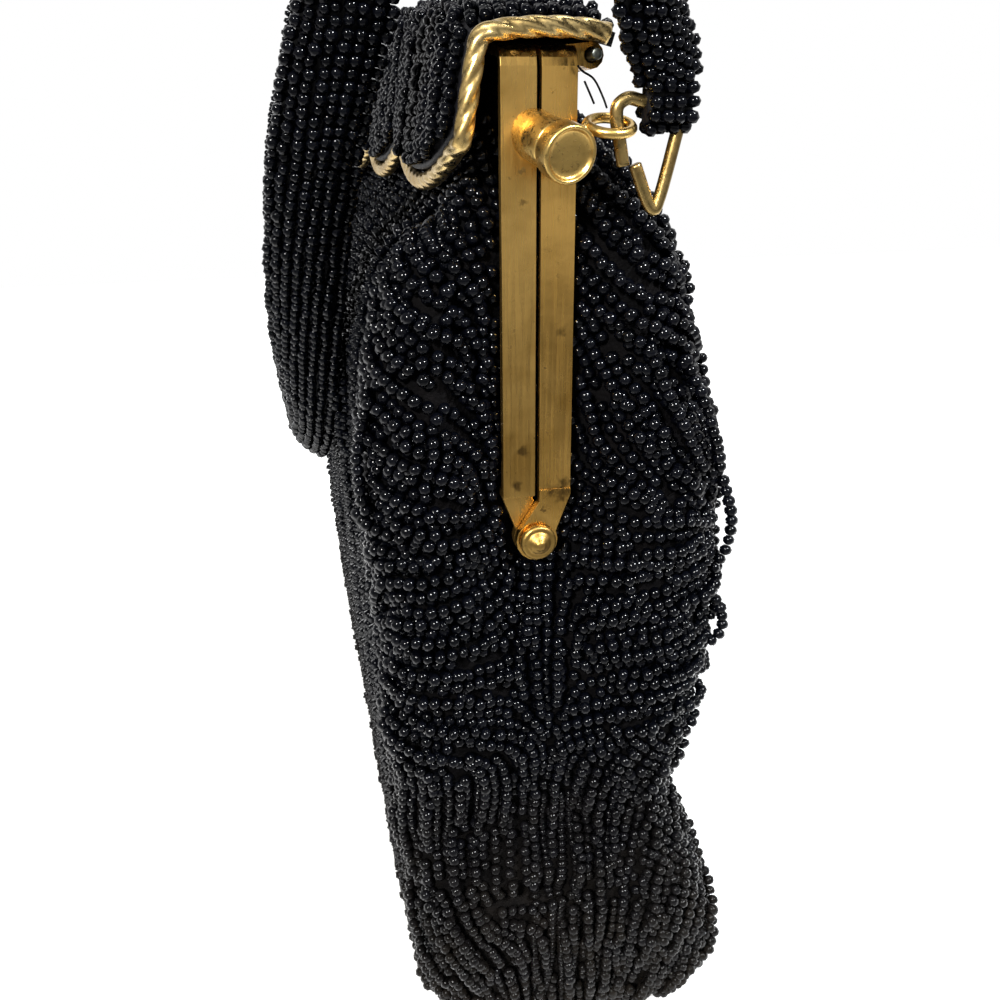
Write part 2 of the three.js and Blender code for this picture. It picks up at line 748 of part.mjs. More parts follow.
function add(name, geometry, material) {
  const mesh = new THREE.Mesh(geometry, material);
  mesh.name = name;
  bag.add(mesh);
}

const BLACK = 0x0c0c12;
const GOLD = 0xb8862f;
const PALE_GOLD = 0xc9a24e;
const STEEL = 0x8a8a86;

add("pouch", pouch(), beaded(BLACK));
add("front_frame", frontFrame(), gilt(PALE_GOLD));
add("back_frame", backFrame(), gilt(GOLD));
add("strap", strap(), beaded(BLACK));
add("flap_panel", flapPanel(), beaded(BLACK));
add("flap_rope", flapRope(), gilt(PALE_GOLD));
add("hinge_pin", hingePin(), gilt(STEEL));

const pairs = [
  ["rivet", rivet(), GOLD],
  ["post", post(), GOLD],
  ["strap_ring", strapRing(), PALE_GOLD],
];
for (const [name, geometry, color] of pairs) {
  add(`${name}_right`, geometry, gilt(color));
  add(`${name}_left`, mirrored(geometry), gilt(color));
}

export default bag;
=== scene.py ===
import math
import random

import bpy
import numpy as np
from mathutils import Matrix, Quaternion, Vector
from mathutils.bvhtree import BVHTree


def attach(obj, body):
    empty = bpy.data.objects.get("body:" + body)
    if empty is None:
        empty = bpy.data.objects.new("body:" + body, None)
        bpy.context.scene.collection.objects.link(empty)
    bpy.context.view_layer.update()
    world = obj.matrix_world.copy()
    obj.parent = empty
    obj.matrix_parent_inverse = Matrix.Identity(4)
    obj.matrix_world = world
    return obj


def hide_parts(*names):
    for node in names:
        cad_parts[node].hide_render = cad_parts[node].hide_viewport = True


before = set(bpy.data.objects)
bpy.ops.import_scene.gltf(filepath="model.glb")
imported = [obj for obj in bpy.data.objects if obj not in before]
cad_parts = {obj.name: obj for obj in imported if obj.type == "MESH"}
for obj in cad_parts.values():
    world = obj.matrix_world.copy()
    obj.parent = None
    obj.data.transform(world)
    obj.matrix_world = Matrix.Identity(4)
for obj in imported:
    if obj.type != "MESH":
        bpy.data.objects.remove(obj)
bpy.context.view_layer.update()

MM = 0.001
SEED = 41

# Sizes shared with the solids
FRAME_Y = -10
FRAME_HALF = 104
TOP_ARCH = 8
FLAP_HALF = 104
FLAP_THICK = 2.2
FLAP_TOP = 197.9
FLAP_BACK_Y = FRAME_Y + 11.2
FLAP_BACK_Z = 196.8
FLAP_FRONT_Y = FRAME_Y - 10.6
FLAP_SLOPE = 0.18
LOBES = 4
CUSP_Z = 184.5
LOBE_DROP = 6.5
ROPE_RADIUS = 1.4
HINGE_Y = FRAME_Y + 8.3
HINGE_Z = 194
BARREL_RADIUS = 1.9
BARREL_HALF = 96.5
PIN_RADIUS = 0.8
PIN_REACH = 104.8
PIN_CHAMFER = 0.15
GAP = 0.3

# Camera, fitted to the photograph
CAMERA_PLACE = (247, -49, 184)
CAMERA_FORWARD = (-0.9084, 0.2074, -0.363)
CAMERA_ROLL = -0.53
CAMERA_LENS = 34.2

# Seed beads: sides and bands of the three grades of detail
BEAD = 2.35
BEAD_PITCH = 1.95
STRAND_PITCH = 2.2
CLEARANCE = BEAD * 0.62
SIZE_SPREAD = 0.06
PLACE_SPREAD = 0.07
TURN_SPREAD = 0.16
TIP_SPREAD = 0.1
MOST_OF_PITCH = 0.56
BEAD_ROUNDNESS = 2.3
BEAD_POLE = 0.95
FINE = (8, 5)
MIDDLE = (8, 4)
COARSE = (5, 3)


# Arrays and meshes
def unit(vectors):
    lengths = np.linalg.norm(vectors, axis=-1, keepdims=True)
    return vectors / np.maximum(lengths, 1e-9)


def smoothstep(low, high, value):
    part = np.clip((value - low) / (high - low), 0, 1)
    return part * part * (3 - 2 * part)


def bell(value, width):
    return np.exp(-0.5 * (value / width) ** 2)


def add_object(name, data):
    thing = bpy.data.objects.new(name, data)
    bpy.context.scene.collection.objects.link(thing)
    return thing


def make_piece(name, shape, body, material, solid=None):
    """A piece from points in millimetres and triangles, riding on a body, in place of a solid."""
    points, triangles = [np.asarray(part).reshape(-1, 3) for part in shape]
    mesh = bpy.data.meshes.new(name)
    mesh.from_pydata(points * MM, [], triangles)
    mesh.shade_smooth()
    mesh.materials.append(material)
    piece = add_object(name, mesh)
    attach(piece, body)
    if solid:
        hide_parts(solid)


def joined(parts):
    """Several (points, triangles) pairs as one."""
    starts = np.cumsum([0] + [len(points) for points, _ in parts])
    triangles = [part[1] + start for part, start in zip(parts, starts)]
    return np.concatenate([points for points, _ in parts]), np.concatenate(triangles)


def mirrored(points, triangles):
    """The same shape at the other end of the bag."""
    return points * (-1, 1, 1), triangles[:, ::-1]


def skin(rows, columns, wrap):
    """Triangles between rows of points; wrap closes each row on itself."""
    last = columns if wrap else columns - 1
    row, column = np.meshgrid(np.arange(rows - 1), np.arange(last), indexing="ij")
    a = (row * columns + column).ravel()
    b = (row * columns + (column + 1) % columns).ravel()
    c = b + columns
    d = a + columns
    return np.concatenate([np.stack([a, b, c], 1), np.stack([a, c, d], 1)])


def closed_skin(rings, poles=None):
    """A closed body through rings of equal count, with a fan to a pole at each end."""
    rings = np.asarray(rings)
    rows, columns, _ = rings.shape
    if poles is None:
        poles = [rings[0].mean(0), rings[-1].mean(0)]
    points = np.concatenate([rings.reshape(-1, 3), poles])
    body = skin(rows, columns, True)
    j = np.arange(columns)
    k = (j + 1) % columns
    start = rows * columns
    last = start - columns
    first_fan = np.stack([np.full(columns, start), k, j], 1)
    last_fan = np.stack([np.full(columns, start + 1), last + j, last + k], 1)
    return points, np.concatenate([body, first_fan, last_fan])


def looped_skin(rows, columns):
    """Triangles of a body whose rows and columns both close on themselves."""
    return skin(rows + 1, columns, True) % (rows * columns)


def carried_frames(path):
    """Directions along a path, with two directions across that turn without twist."""
    along = unit(np.gradient(path, axis=0))
    helper = np.array([0, 0, 1.0]) if abs(along[0, 0]) > 0.8 else np.array([1.0, 0, 0])
    across = np.cross(helper, along[0])
    sides = []
    for direction in along:
        across = across - direction * across.dot(direction)
        across = across / np.linalg.norm(across)
        sides.append(across)
    sides = np.array(sides)
    return along, sides, np.cross(along, sides)


def circle(count):
    return np.linspace(0, 2 * np.pi, count, endpoint=False)


def spokes(across, up, sides):
    """Directions round each row of two directions."""
    angles = circle(sides)[None, :, None]
    return across[:, None] * np.cos(angles) + up[:, None] * np.sin(angles)


def wire(path, radius, sides):
    """A round wire along a path with slightly rounded ends."""
    along, across, up = carried_frames(path)
    spoke = spokes(across, up, sides) * radius
    start = path[0] - along[0] * radius * 0.15 + spoke[0] * 0.8
    end = path[-1] + along[-1] * radius * 0.15 + spoke[-1] * 0.8
    return closed_skin(np.concatenate([start[None], path[:, None] + spoke, end[None]]))


def turned_rings(profile, seat, direction, sides):
    """Rings of a turned piece: rows of (distance along a level axis or nearly so, radius)."""
    direction = unit(np.array(direction, dtype=float))
    across = unit(np.cross((0, 0, 1.0), direction))
    up = np.cross(direction, across)
    spoke = spokes(across[None], up[None], sides)[0]
    return np.array([np.array(seat) + direction * along + spoke * radius for along, radius in profile])


def turned(profile, seat, direction, sides):
    return closed_skin(turned_rings(profile, seat, direction, sides))


# Knots between which each stage of a spline blends its points
SPLINE_STAGES = [[(0, 1), (1, 2), (2, 3)], [(0, 2), (1, 3)], [(1, 2)]]


def through(points, count):
    """A smooth curve through points, sampled evenly: a centripetal spline."""
    points = np.asarray(points, dtype=float)
    padded = np.concatenate([[2 * points[0] - points[1]], points, [2 * points[-1] - points[-2]]])
    curve = []
    for i in range(len(points) - 1):
        knots = [0.0]
        for a, b in zip(padded[i:i + 3], padded[i + 1:i + 4]):
            knots.append(knots[-1] + max(np.linalg.norm(b[:3] - a[:3]), 1e-6) ** 0.5)
        for part in np.linspace(0, 1, 24, endpoint=False):
            at = knots[1] + (knots[2] - knots[1]) * part
            row = padded[i:i + 4]
            for pairs in SPLINE_STAGES:
                row = [a + (b - a) * (at - knots[m]) / (knots[n] - knots[m])
                       for a, b, (m, n) in zip(row, row[1:], pairs)]
            curve.append(row[0])
    curve.append(points[-1])
    return evenly(np.array(curve), count)


def steps_of(path):
    return np.linalg.norm(np.diff(path[:, :3], axis=0), axis=1)


def travelled(path):
    """The distance along a path at each of its points."""
    return np.concatenate([[0], np.cumsum(steps_of(path))])


def evenly(path, count):
    """The same path with points at equal distances; extra columns are carried along."""
    distance = travelled(path)
    wanted = np.linspace(0, distance[-1], count)
    return np.stack([np.interp(wanted, distance, path[:, c]) for c in range(path.shape[1])], 1)


def drawn(points, count):
    """A smooth curve through points whose y is measured from the frame's plane."""
    return through(np.array(points) + (0, FRAME_Y, 0), count)


def arch(x):
    """The rise of the frame's arched top above its corners."""
    part = np.minimum(np.abs(x) / FRAME_HALF, 1)
    return TOP_ARCH * (1 - part * part)


# Materials
class Finish:
    """A material in the making: one Principled shader and the nodes that drive it."""

    def __init__(self, name, constants):
        self.material = bpy.data.materials.new(name)
        self.material.use_nodes = True
        self.tree = self.material.node_tree
        self.shader = self.tree.nodes["Principled BSDF"]
        for socket, value in constants.items():
            self.drive(socket, value)

    def feed(self, socket, value):
        """A constant, or the output of another node, into a socket."""
        if isinstance(value, bpy.types.NodeSocket):
            self.tree.links.new(value, socket)
        else:
            socket.default_value = value

    def drive(self, socket, value):
        self.feed(self.shader.inputs[socket], value)

    def node(self, kind, inputs, **settings):
        node = self.tree.nodes.new(kind)
        for key, value in settings.items():
            setattr(node, key, value)
        for socket, value in inputs.items():
            self.feed(node.inputs[socket], value)
        return node

    def here(self):
        return self.node("ShaderNodeTexCoord", {}).outputs["Object"]

    def axis(self, letter):
        return self.node("ShaderNodeSeparateXYZ", {0: self.here()}).outputs[letter]

    def place(self, stretch):
        return self.node("ShaderNodeMapping", {"Vector": self.here(), "Scale": stretch}).outputs[0]

    def noise(self, scale, detail=3, stretch=(1, 1, 1), distortion=0):
        inputs = {"Vector": self.place(stretch), "Scale": scale, "Detail": detail, "Distortion": distortion}
        return self.node("ShaderNodeTexNoise", inputs).outputs[0]

    def span(self, value, low, high, to_low=0.0, to_high=1.0):
        inputs = {"Value": value, 1: low, 2: high, 3: to_low, 4: to_high}
        return self.node("ShaderNodeMapRange", inputs).outputs[0]

    def times(self, a, b):
        return self.node("ShaderNodeMath", {0: a, 1: b}, operation="MULTIPLY").outputs[0]

    def plus(self, a, b):
        return self.node("ShaderNodeMath", {0: a, 1: b}, operation="ADD").outputs[0]

    def mix(self, factor, a, b):
        return self.node("ShaderNodeMix", {0: factor, 6: a, 7: b}, data_type="RGBA").outputs[2]

    def bump(self, height, distance, strength=1.0):
        inputs = {"Height": height, "Distance": distance, "Strength": strength}
        self.drive("Normal", self.node("ShaderNodeBump", inputs).outputs[0])


# Heights where dust on the beads and on the cloth begins, and where it is thickest
DUST_TOP = 78
DUST_FOOT = 12
NO_DUST = 14
CLOTH_DUST_TOP = 70
CLOTH_DUST_FOOT = 10


def rgba(red, green, blue):
    return (red, green, blue, 1.0)


def bead_finish(name, dust_top, shine):
    """Black glass beads, each a little different, dulled by dust below dust_top."""
    finish = Finish(name, {"IOR": 1.5})
    island = finish.node("ShaderNodeNewGeometry", {}).outputs["Random Per Island"]
    glass = finish.mix(island, rgba(0.0003, 0.0004, 0.0008), rgba(0.0011, 0.0013, 0.0023))
    patches = finish.span(finish.noise(140, 4), 0.36, 0.66)
    dusty = finish.span(finish.axis("Z"), dust_top * MM, DUST_FOOT * MM)
    dusty = finish.times(dusty, finish.span(patches, 0, 1, 0.3, 0.95))
    finish.drive("Base Color", finish.mix(dusty, glass, rgba(0.008, 0.0066, 0.0052)))
    gloss = finish.span(island, 0.0, 1.0, 0.04, 0.11)
    finish.drive("Roughness", finish.plus(gloss, finish.times(dusty, 0.2)))
    finish.drive("Specular IOR Level", finish.span(dusty, 0.0, 0.8, shine, shine * 0.5))
    finish.bump(finish.noise(900, 2), 0.00001)
    return finish.material


def cloth_finish():
    """Black ground cloth that the beads are sewn to, grey with dust low down."""
    finish = Finish("black_cloth", {"Specular IOR Level": 0.04})
    weave = finish.node("ShaderNodeTexVoronoi", {"Vector": finish.here(), "Scale": 1500.0}).outputs[0]
    patches = finish.span(finish.noise(160, 5), 0.35, 0.7)
    dusty = finish.span(finish.axis("Z"), CLOTH_DUST_TOP * MM, CLOTH_DUST_FOOT * MM)
    dusty = finish.times(dusty, finish.span(patches, 0, 1, 0.2, 0.9))
    ground = finish.mix(patches, rgba(0.0008, 0.0008, 0.001), rgba(0.002, 0.0017, 0.0018))
    finish.drive("Base Color", finish.mix(dusty, ground, rgba(0.007, 0.0058, 0.0046)))
    finish.drive("Roughness", finish.span(weave, 0, 1, 0.75, 0.95))
    finish.bump(weave, 0.0003, 0.6)
    return finish.material


def satin_finish():
    """The plain satin lining of the strap and flap."""
    finish = Finish("black_satin", {"Specular IOR Level": 0.15})
    thread = finish.noise(2600, 2, (1, 1, 0.15))
    folds = finish.noise(120, 3)
    finish.drive("Base Color", finish.mix(folds, rgba(0.0016, 0.0016, 0.0024), rgba(0.004, 0.0038, 0.005)))
    finish.drive("Roughness", finish.span(thread, 0.3, 0.7, 0.42, 0.6))
    finish.bump(finish.plus(finish.times(thread, 0.3), folds), 0.0004, 0.6)
    return finish.material


def gilt_finish(name, bright, aged, brush, spots, rough, marks=()):
    """Old gilding: brushed along one direction, ambered in clouds and spotted with tarnish.

    marks are dark stains, rows of place in millimetres and radius.
    """
    finish = Finish(name, {"Metallic": 1.0, "Anisotropic": 0.25})
    clouds = finish.span(finish.noise(70, 6, distortion=0.6), 0.4, 0.62)
    brushed = finish.noise(1700, 3, brush)
    specks = finish.span(finish.noise(520, 4), 0.64, 0.72)
    worn = finish.mix(clouds, bright, aged)
    for mark, radius in marks:
        centre = [value * MM for value in mark]
        away = finish.node("ShaderNodeVectorMath", {0: finish.here(), 1: centre}, operation="DISTANCE")
        torn = finish.span(finish.noise(700, 4), 0.3, 0.7, 0, radius * MM)
        ragged = finish.plus(away.outputs["Value"], torn)
        near = finish.span(ragged, radius * 1.3 * MM, radius * 0.7 * MM, 0, 0.85)
        worn = finish.mix(near, worn, rgba(0.07, 0.04, 0.014))
    streaked = finish.mix(finish.span(brushed, 0.35, 0.75, 0.0, 0.35), worn, aged)
    dulled = finish.times(specks, spots)
    finish.drive("Base Color", finish.mix(dulled, streaked, rgba(0.04, 0.024, 0.01)))
    base = finish.span(brushed, 0.3, 0.7, rough - 0.06, rough + 0.08)
    clouded = finish.plus(base, finish.times(clouds, 0.06))
    finish.drive("Roughness", finish.plus(clouded, finish.times(dulled, 0.3)))
    finish.bump(finish.plus(finish.times(brushed, 0.25), finish.noise(240, 3)), 0.00008, 0.7)
    return finish.material


def steel_finish():
    finish = Finish("drawn_steel", {"Metallic": 1.0})
    drawn = finish.noise(900, 3, (0.05, 1, 1))
    finish.drive("Base Color", finish.mix(drawn, rgba(0.06, 0.07, 0.062), rgba(0.14, 0.15, 0.135)))
    finish.drive("Roughness", finish.span(drawn, 0.3, 0.7, 0.3, 0.5))
    finish.bump(drawn, 0.00005)
    return finish.material


ALONG_Z = (1, 1, 0.04)
ROUND = (1, 1, 1)
end_beads = bead_finish("black_beads", DUST_TOP, 0.17)
face_beads = bead_finish("black_beads_face", DUST_TOP, 0.09)
strap_beads = bead_finish("black_beads_strap", NO_DUST, 0.14)
flap_beads = bead_finish("black_beads_flap", NO_DUST, 0.1)
cloth = cloth_finish()
satin = satin_finish()
FRONT_MARKS = [((104, -12.4, 135), 1.5), ((104, -13.4, 129), 1.1)]
BACK_MARKS = [((104.3, -5.6, 127.6), 3.2), ((104, -6.4, 154.6), 1.2)]
gilt_pale = gilt_finish("gilt_pale", rgba(0.7, 0.435, 0.125), rgba(0.33, 0.19, 0.045), ALONG_Z, 0.75, 0.27,
                        FRONT_MARKS)
gilt_amber = gilt_finish("gilt_amber", rgba(0.8, 0.48, 0.128), rgba(0.4, 0.225, 0.05), ALONG_Z, 0.85, 0.22,
                         BACK_MARKS)
gilt_knob = gilt_finish("gilt_knob", rgba(0.8, 0.54, 0.17), rgba(0.45, 0.295, 0.09), ROUND, 0.7, 0.26)
gilt_rivet = gilt_finish("gilt_rivet", rgba(0.42, 0.27, 0.075), rgba(0.2, 0.12, 0.032), ROUND, 0.8, 0.36)
gilt_wire = gilt_finish("gilt_wire", rgba(0.34, 0.24, 0.09), rgba(0.2, 0.13, 0.045), ROUND, 0.7, 0.28)
gilt_rope = gilt_finish("gilt_rope", rgba(0.72, 0.54, 0.24), rgba(0.43, 0.29, 0.1), ROUND, 0.6, 0.26)
steel = steel_finish()


# Pouch: a chart of its outside, read from the solid by level rays.
# Columns run along the front, round the right end, along the back and round the left end.
CORE_X = 88
FACE_RAYS = 89
END_RAYS = 61
LIFT_Z = 187
RIM_Z = 193
LEVELS = np.concatenate([np.arange(0.6, 164, 2.0), np.arange(164, 171, 0.8), np.arange(171, 192.3, 1.9)])
RAY_START = 200
RELAX_ROUNDS = 5
WALL = 2.0

# Fine creases of the end gussets. Rows are name, y from the frame's plane, z, half width, half
# height and rise along the cloth's normal.
CREASES = [
    ("slit", 0.5, 41.8, 5.0, 1.2, -2.6),
    ("lip", 0.5, 38.4, 5.5, 1.5, 1.0),
    ("brow", 0.0, 46.5, 7.0, 2.0, 0.8),
    ("left tuck", -13.0, 52.0, 2.2, 9.0, -1.2),
    ("left roll", -16.5, 30.0, 3.0, 11.0, 1.2),
    ("right tuck", 18.0, 44.0, 2.6, 9.0, -1.4),
    ("right roll", 25.0, 32.0, 4.0, 9.0, 1.2),
    ("left hollow", -11.0, 152.0, 2.6, 10.0, -2.8),
    ("right hollow", 9.5, 142.0, 2.6, 14.0, -1.6),
    ("right furrow", 20.0, 137.0, 1.8, 9.0, -1.4),
]

# Fine gathers down both faces, closest together just under the frame
FINE_GATHER_PITCH = 13
FINE_GATHER_DEPTH = 0.8
FINE_GATHER_Z = 158
FINE_GATHER_FADE = 26


def surface_of(name):
    """The surface of a solid in millimetres, for rays and nearest points."""
    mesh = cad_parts[name].data
    points = [vertex.co / MM for vertex in mesh.vertices]
    return BVHTree.FromPolygons(points, [tuple(polygon.vertices) for polygon in mesh.polygons])


def chart_columns():
    """Core x and outward direction of each column of the chart."""
    face = np.linspace(-CORE_X, CORE_X, FACE_RAYS)
    turns = np.linspace(-np.pi / 2, np.pi / 2, END_RAYS + 2)[1:-1]
    front = [(x, 0, -1) for x in face]
    right = [(CORE_X, math.cos(turn), math.sin(turn)) for turn in turns]
    back = [(x, 0, 1) for x in face[::-1]]
    left = [(-CORE_X, -math.cos(turn), -math.sin(turn)) for turn in turns]
    return front + right + back + left


def lifted(x, level):
    return level + arch(x) * smoothstep(LIFT_Z, RIM_Z, level)


def read_chart():
    tree = surface_of("pouch")
    columns = chart_columns()
    chart = np.zeros((len(LEVELS), len(columns), 3))
    for i, level in enumerate(LEVELS):
        sides = []
        for way in (-1, 1):
            start = Vector((0, way * RAY_START, lifted(0, level)))
            sides.append(tree.ray_cast(start, Vector((0, -way, 0)))[0].y)
        middle = sum(sides) / 2
        for j, (x, dx, dy) in enumerate(columns):
            z = lifted(x, level)
            outward = Vector((dx, dy, 0))
            hit = tree.ray_cast(Vector((x, middle, z)) + outward * RAY_START, -outward)[0]
            chart[i, j] = hit if hit is not None else (*chart[i - 1, j, :2], z)
    return chart


def relaxed(chart, rounds):
    """The chart with the facets of the solid smoothed away."""
    for _ in range(rounds):
        chart = (np.roll(chart, 1, 1) + 2 * chart + np.roll(chart, -1, 1)) / 4
        inner = (chart[:-2] + 2 * chart[1:-1] + chart[2:]) / 4
        chart = np.concatenate([chart[:1], inner, chart[-1:]])
    return chart


def chart_normals(chart):
    across = np.roll(chart, -1, 1) - np.roll(chart, 1, 1)
    return unit(np.cross(across, np.gradient(chart, axis=0)))


def creased(chart):
    """The chart with the fine creases and gathers of the cloth."""
    normals = chart_normals(chart)
    x, y, z = np.moveaxis(chart, 2, 0)
    at_end = smoothstep(CORE_X - 4, CORE_X + 4, np.abs(x))
    rise = np.zeros_like(x)
    for _, crease_y, crease_z, wide, high, lift in CREASES:
        rise += lift * (bell(y - FRAME_Y - crease_y, wide) * bell(z - crease_z, high)) * at_end
    wave = np.cos(2 * np.pi * x / FINE_GATHER_PITCH + 0.9 * np.sin(x / 17))
    fade = bell(z - FINE_GATHER_Z, FINE_GATHER_FADE) * smoothstep(RIM_Z - 8, RIM_Z - 22, z)
    rise += FINE_GATHER_DEPTH * wave * fade * (1 - at_end)
    rise += 0.35 * np.sin(x / 5.3 + z / 9) * np.sin(z / 6.1 - x / 14) * (1 - at_end)
    foot = smoothstep(2, 12, z)
    return chart + normals * (rise * foot)[..., None]


def sample(grid, column, row):
    """The value of a chart grid at fractional columns and rows."""
    rows, columns, _ = grid.shape
    row = np.clip(row, 0, rows - 1.001)
    left = np.floor(column).astype(int)
    low = np.floor(row).astype(int)
    part_column = (column - left)[..., None]
    part_row = (row - low)[..., None]
    right = (left + 1) % columns
    left = left % columns
    lower = grid[low, left] * (1 - part_column) + grid[low, right] * part_column
    upper = grid[low + 1, left] * (1 - part_column) + grid[low + 1, right] * part_column
    return lower * (1 - part_row) + upper * part_row


def row_of(level):
    return np.interp(level, LEVELS, np.arange(len(LEVELS)))


chart = creased(relaxed(read_chart(), RELAX_ROUNDS))
normals = chart_normals(chart)


def pouch_cloth():
    """The ground cloth: its outside, its rim, a plainer inside and a flat base."""
    rows, columns, _ = chart.shape
    inside_rows = np.linspace(rows - 1, 1, 14).astype(int)
    inside = chart[inside_rows] - normals[inside_rows] * WALL
    inside[..., 2] = np.maximum(inside[..., 2], WALL)
    base_edge = chart[:1] * (0.99, 0.99, 1)
    base_edge[..., 2] = 0.25
    return closed_skin(np.concatenate([base_edge, chart, inside]))


make_piece("pouch_cloth", pouch_cloth(), "bag", cloth, "pouch")


# Strings of beads
class BeadField:
    """Beads gathered from many strands, to become one mesh."""

    def __init__(self):
        self.rows = []

    def string(self, path, outward, draws, pitch=BEAD_PITCH, size=BEAD, squash=0.86, rise=0.55, loose=1.0,
               phase=0.5):
        """Beads along a path; outward is the way off the cloth, rise the height in bead sizes."""
        length = steps_of(path).sum()
        count = int(length / pitch + 0.5)
        if count < 1:
            return
        wanted = (np.arange(count) + phase) * length / count
        distance = travelled(path)
        columns = np.hstack([path, outward, unit(np.gradient(path, axis=0))])
        placed = np.stack([np.interp(wanted, distance, column) for column in columns.T], 1)
        centre, out, axis = placed[:, :3], unit(placed[:, 3:6]), unit(placed[:, 6:9])
        out = unit(out - axis * np.sum(out * axis, 1, keepdims=True))
        side = np.cross(axis, out)
        sizes = size * (1 + SIZE_SPREAD * draws.standard_normal(count))
        wander = draws.standard_normal((count, 3)) * loose
        lift = rise * sizes / 2 + size * PLACE_SPREAD * wander[:, 0]
        centre = centre + out * lift[:, None] + side * (size * PLACE_SPREAD * wander[:, 1])[:, None]
        axis = unit(axis + side * TURN_SPREAD * wander[:, 2:3] + out * TIP_SPREAD * wander[:, 1:2])
        radius = sizes / 2
        half = np.minimum(sizes * squash / 2, length / count * MOST_OF_PITCH)
        self.rows.append(np.hstack([centre, axis, out, radius[:, None], half[:, None]]))

    def beads(self):
        return np.concatenate(self.rows)


def clear_of(field, trees):
    """The beads that don't reach into a solid."""
    hits = [[tree.find_nearest(bead[:3], CLEARANCE)[0] for tree in trees] for bead in field]
    return field[[all(hit is None for hit in row) for row in hits]]


def bead_mesh(field, detail):
    """Points and triangles of many beads, with the given sides and bands each."""
    sides, bands = detail
    along = -np.cos(np.arange(1, bands) * np.pi / bands)[:, None]
    radial = np.sqrt(1 - np.abs(along) ** BEAD_ROUNDNESS)
    angle = 2 * np.pi * (np.arange(sides) + 0.5 * np.arange(bands - 1)[:, None]) / sides
    rings = np.stack([along + 0 * angle, radial * np.cos(angle), radial * np.sin(angle)], 2)
    template, faces = closed_skin(rings, [(-BEAD_POLE, 0, 0), (BEAD_POLE, 0, 0)])
    axis, out = field[:, 3:6], field[:, 6:9]
    radius, half = field[:, 9:10], field[:, 10:11]
    reach = np.stack([axis * half, out * radius, np.cross(axis, out) * radius], 1)
    shift = np.arange(len(field))[:, None, None] * len(template)
    return field[:, None, :3] + template @ reach, faces[None] + shift


# Near end: strands follow a field of directions, drawn one by one. Rows are s, z and turn: s runs
# round the end from the frame's plane, and turn is the strand's slope in degrees.
FLOW = [
    (-16, 182, -50), (-18, 166, -28), (-20, 152, -20), (-14, 146, -38), (-22, 136, -14), (-15, 131, -35),
    (-7, 175, 90), (-7, 155, 90), (-8, 138, 84), (-9, 126, 70), (-20, 120, -6), (-11, 113, 30),
    (-22, 104, 2), (-12, 99, 8), (7, 176, -70), (14, 170, -30), (10, 156, -62), (20, 154, -16),
    (12, 140, -74), (21, 139, -48), (30, 130, -58), (12, 124, -12), (24, 116, 4), (15, 106, 10),
    (32, 104, 8), (0, 110, 90), (4, 100, 90), (3, 88, 90), (-13, 89, -4), (-22, 82, -10), (17, 90, 4),
    (30, 86, -4), (-9, 78, -24), (13, 77, 12), (-16, 66, 88), (-6, 64, 82), (3, 62, 90), (12, 62, 90),
    (22, 64, 70), (34, 62, 40), (-10, 52, 88), (0, 52, 86), (-3, 38, 0), (9, 40, 92), (26, 42, 76),
    (38, 40, 62), (-18, 38, 108), (-15, 24, 120), (0, 22, 94), (10, 20, 98), (24, 22, 76), (38, 24, 64),
    (-30, 110, 80), (-30, 60, 88), (-30, 160, 78), (45, 110, 80), (46, 60, 84), (40, 160, 80),
]
FLOW_REACH = 7.5

# Strands that are laid first: two columns beside the front leg, the slit's lip, and the
# stiff ribs that run down to the base
LEG_COLUMNS = [-7.0, -9.1]
LEG_COLUMN_Z = (126, 172)
LIP = {"z": 38.6, "from": -8.0, "to": 7.0}
RIBS = [0.4, 3.1, 5.8, 8.5]
RIB_Z = (4, 64)
RIB_SIZE = 2.3
RIB_PITCH = 1.3

# Places where the dark cloth shows between strands. Rows are s, z, half width, half height and
# the share of beads left out at the middle.
BARE = [(-11.5, 154, 2.2, 9, 0.015), (0.5, 42, 6.0, 0.9, 1.0), (18, 44, 2.0, 4, 0.1)]

END_FIRST = FACE_RAYS - 1
END_LAST = FACE_RAYS + END_RAYS
TRACE_STEP = 0.6
TRACE_FLOOR = 3.5
TRACE_TOP = 186
SOWN_S = (-30, 45)
SOWN_Z = (5, 180)
STRAND_LENGTHS = (14, 46)
STRAND_ROOM = STRAND_PITCH * 0.82
SEED_ROOM = STRAND_PITCH * 0.93
SEED_STEP = STRAND_PITCH * 1.02
PLUG_ROOM = BEAD * 0.7
FILL_TRIES = 9000
PLUG_TRIES = 16000
LOOP_TRIES = 650
LOOP_Z = (8, 178)
LOOP_LENGTHS = (9, 26)
LOOP_RISE = (0.9, 2.1)


class EndChart:
    """The near end unrolled: s is the distance round it from the frame's plane."""

    def __init__(self):
        points = chart[:, END_FIRST:END_LAST + 1]
        steps = np.linalg.norm(np.diff(points, axis=1), axis=2)
        distance = np.concatenate([np.zeros((len(points), 1)), np.cumsum(steps, axis=1)], axis=1)
        for i, row in enumerate(points):
            distance[i] -= np.interp(FRAME_Y, row[:, 1], distance[i])
        self.distance = distance
        self.index = np.arange(distance.shape[1])

    def row_distance(self, z):
        row = min(float(row_of(z)), len(LEVELS) - 1.001)
        low = int(row)
        part = row - low
        return self.distance[low] * (1 - part) + self.distance[low + 1] * part

    def on_cloth(self, strand):
        """Points and normals of a strand of (s, z) places."""
        columns = [END_FIRST + np.interp(s, self.row_distance(z), self.index) for s, z in strand]
        rows = row_of(np.array(strand)[:, 1])
        return sample(chart, np.array(columns), rows), sample(normals, np.array(columns), rows)


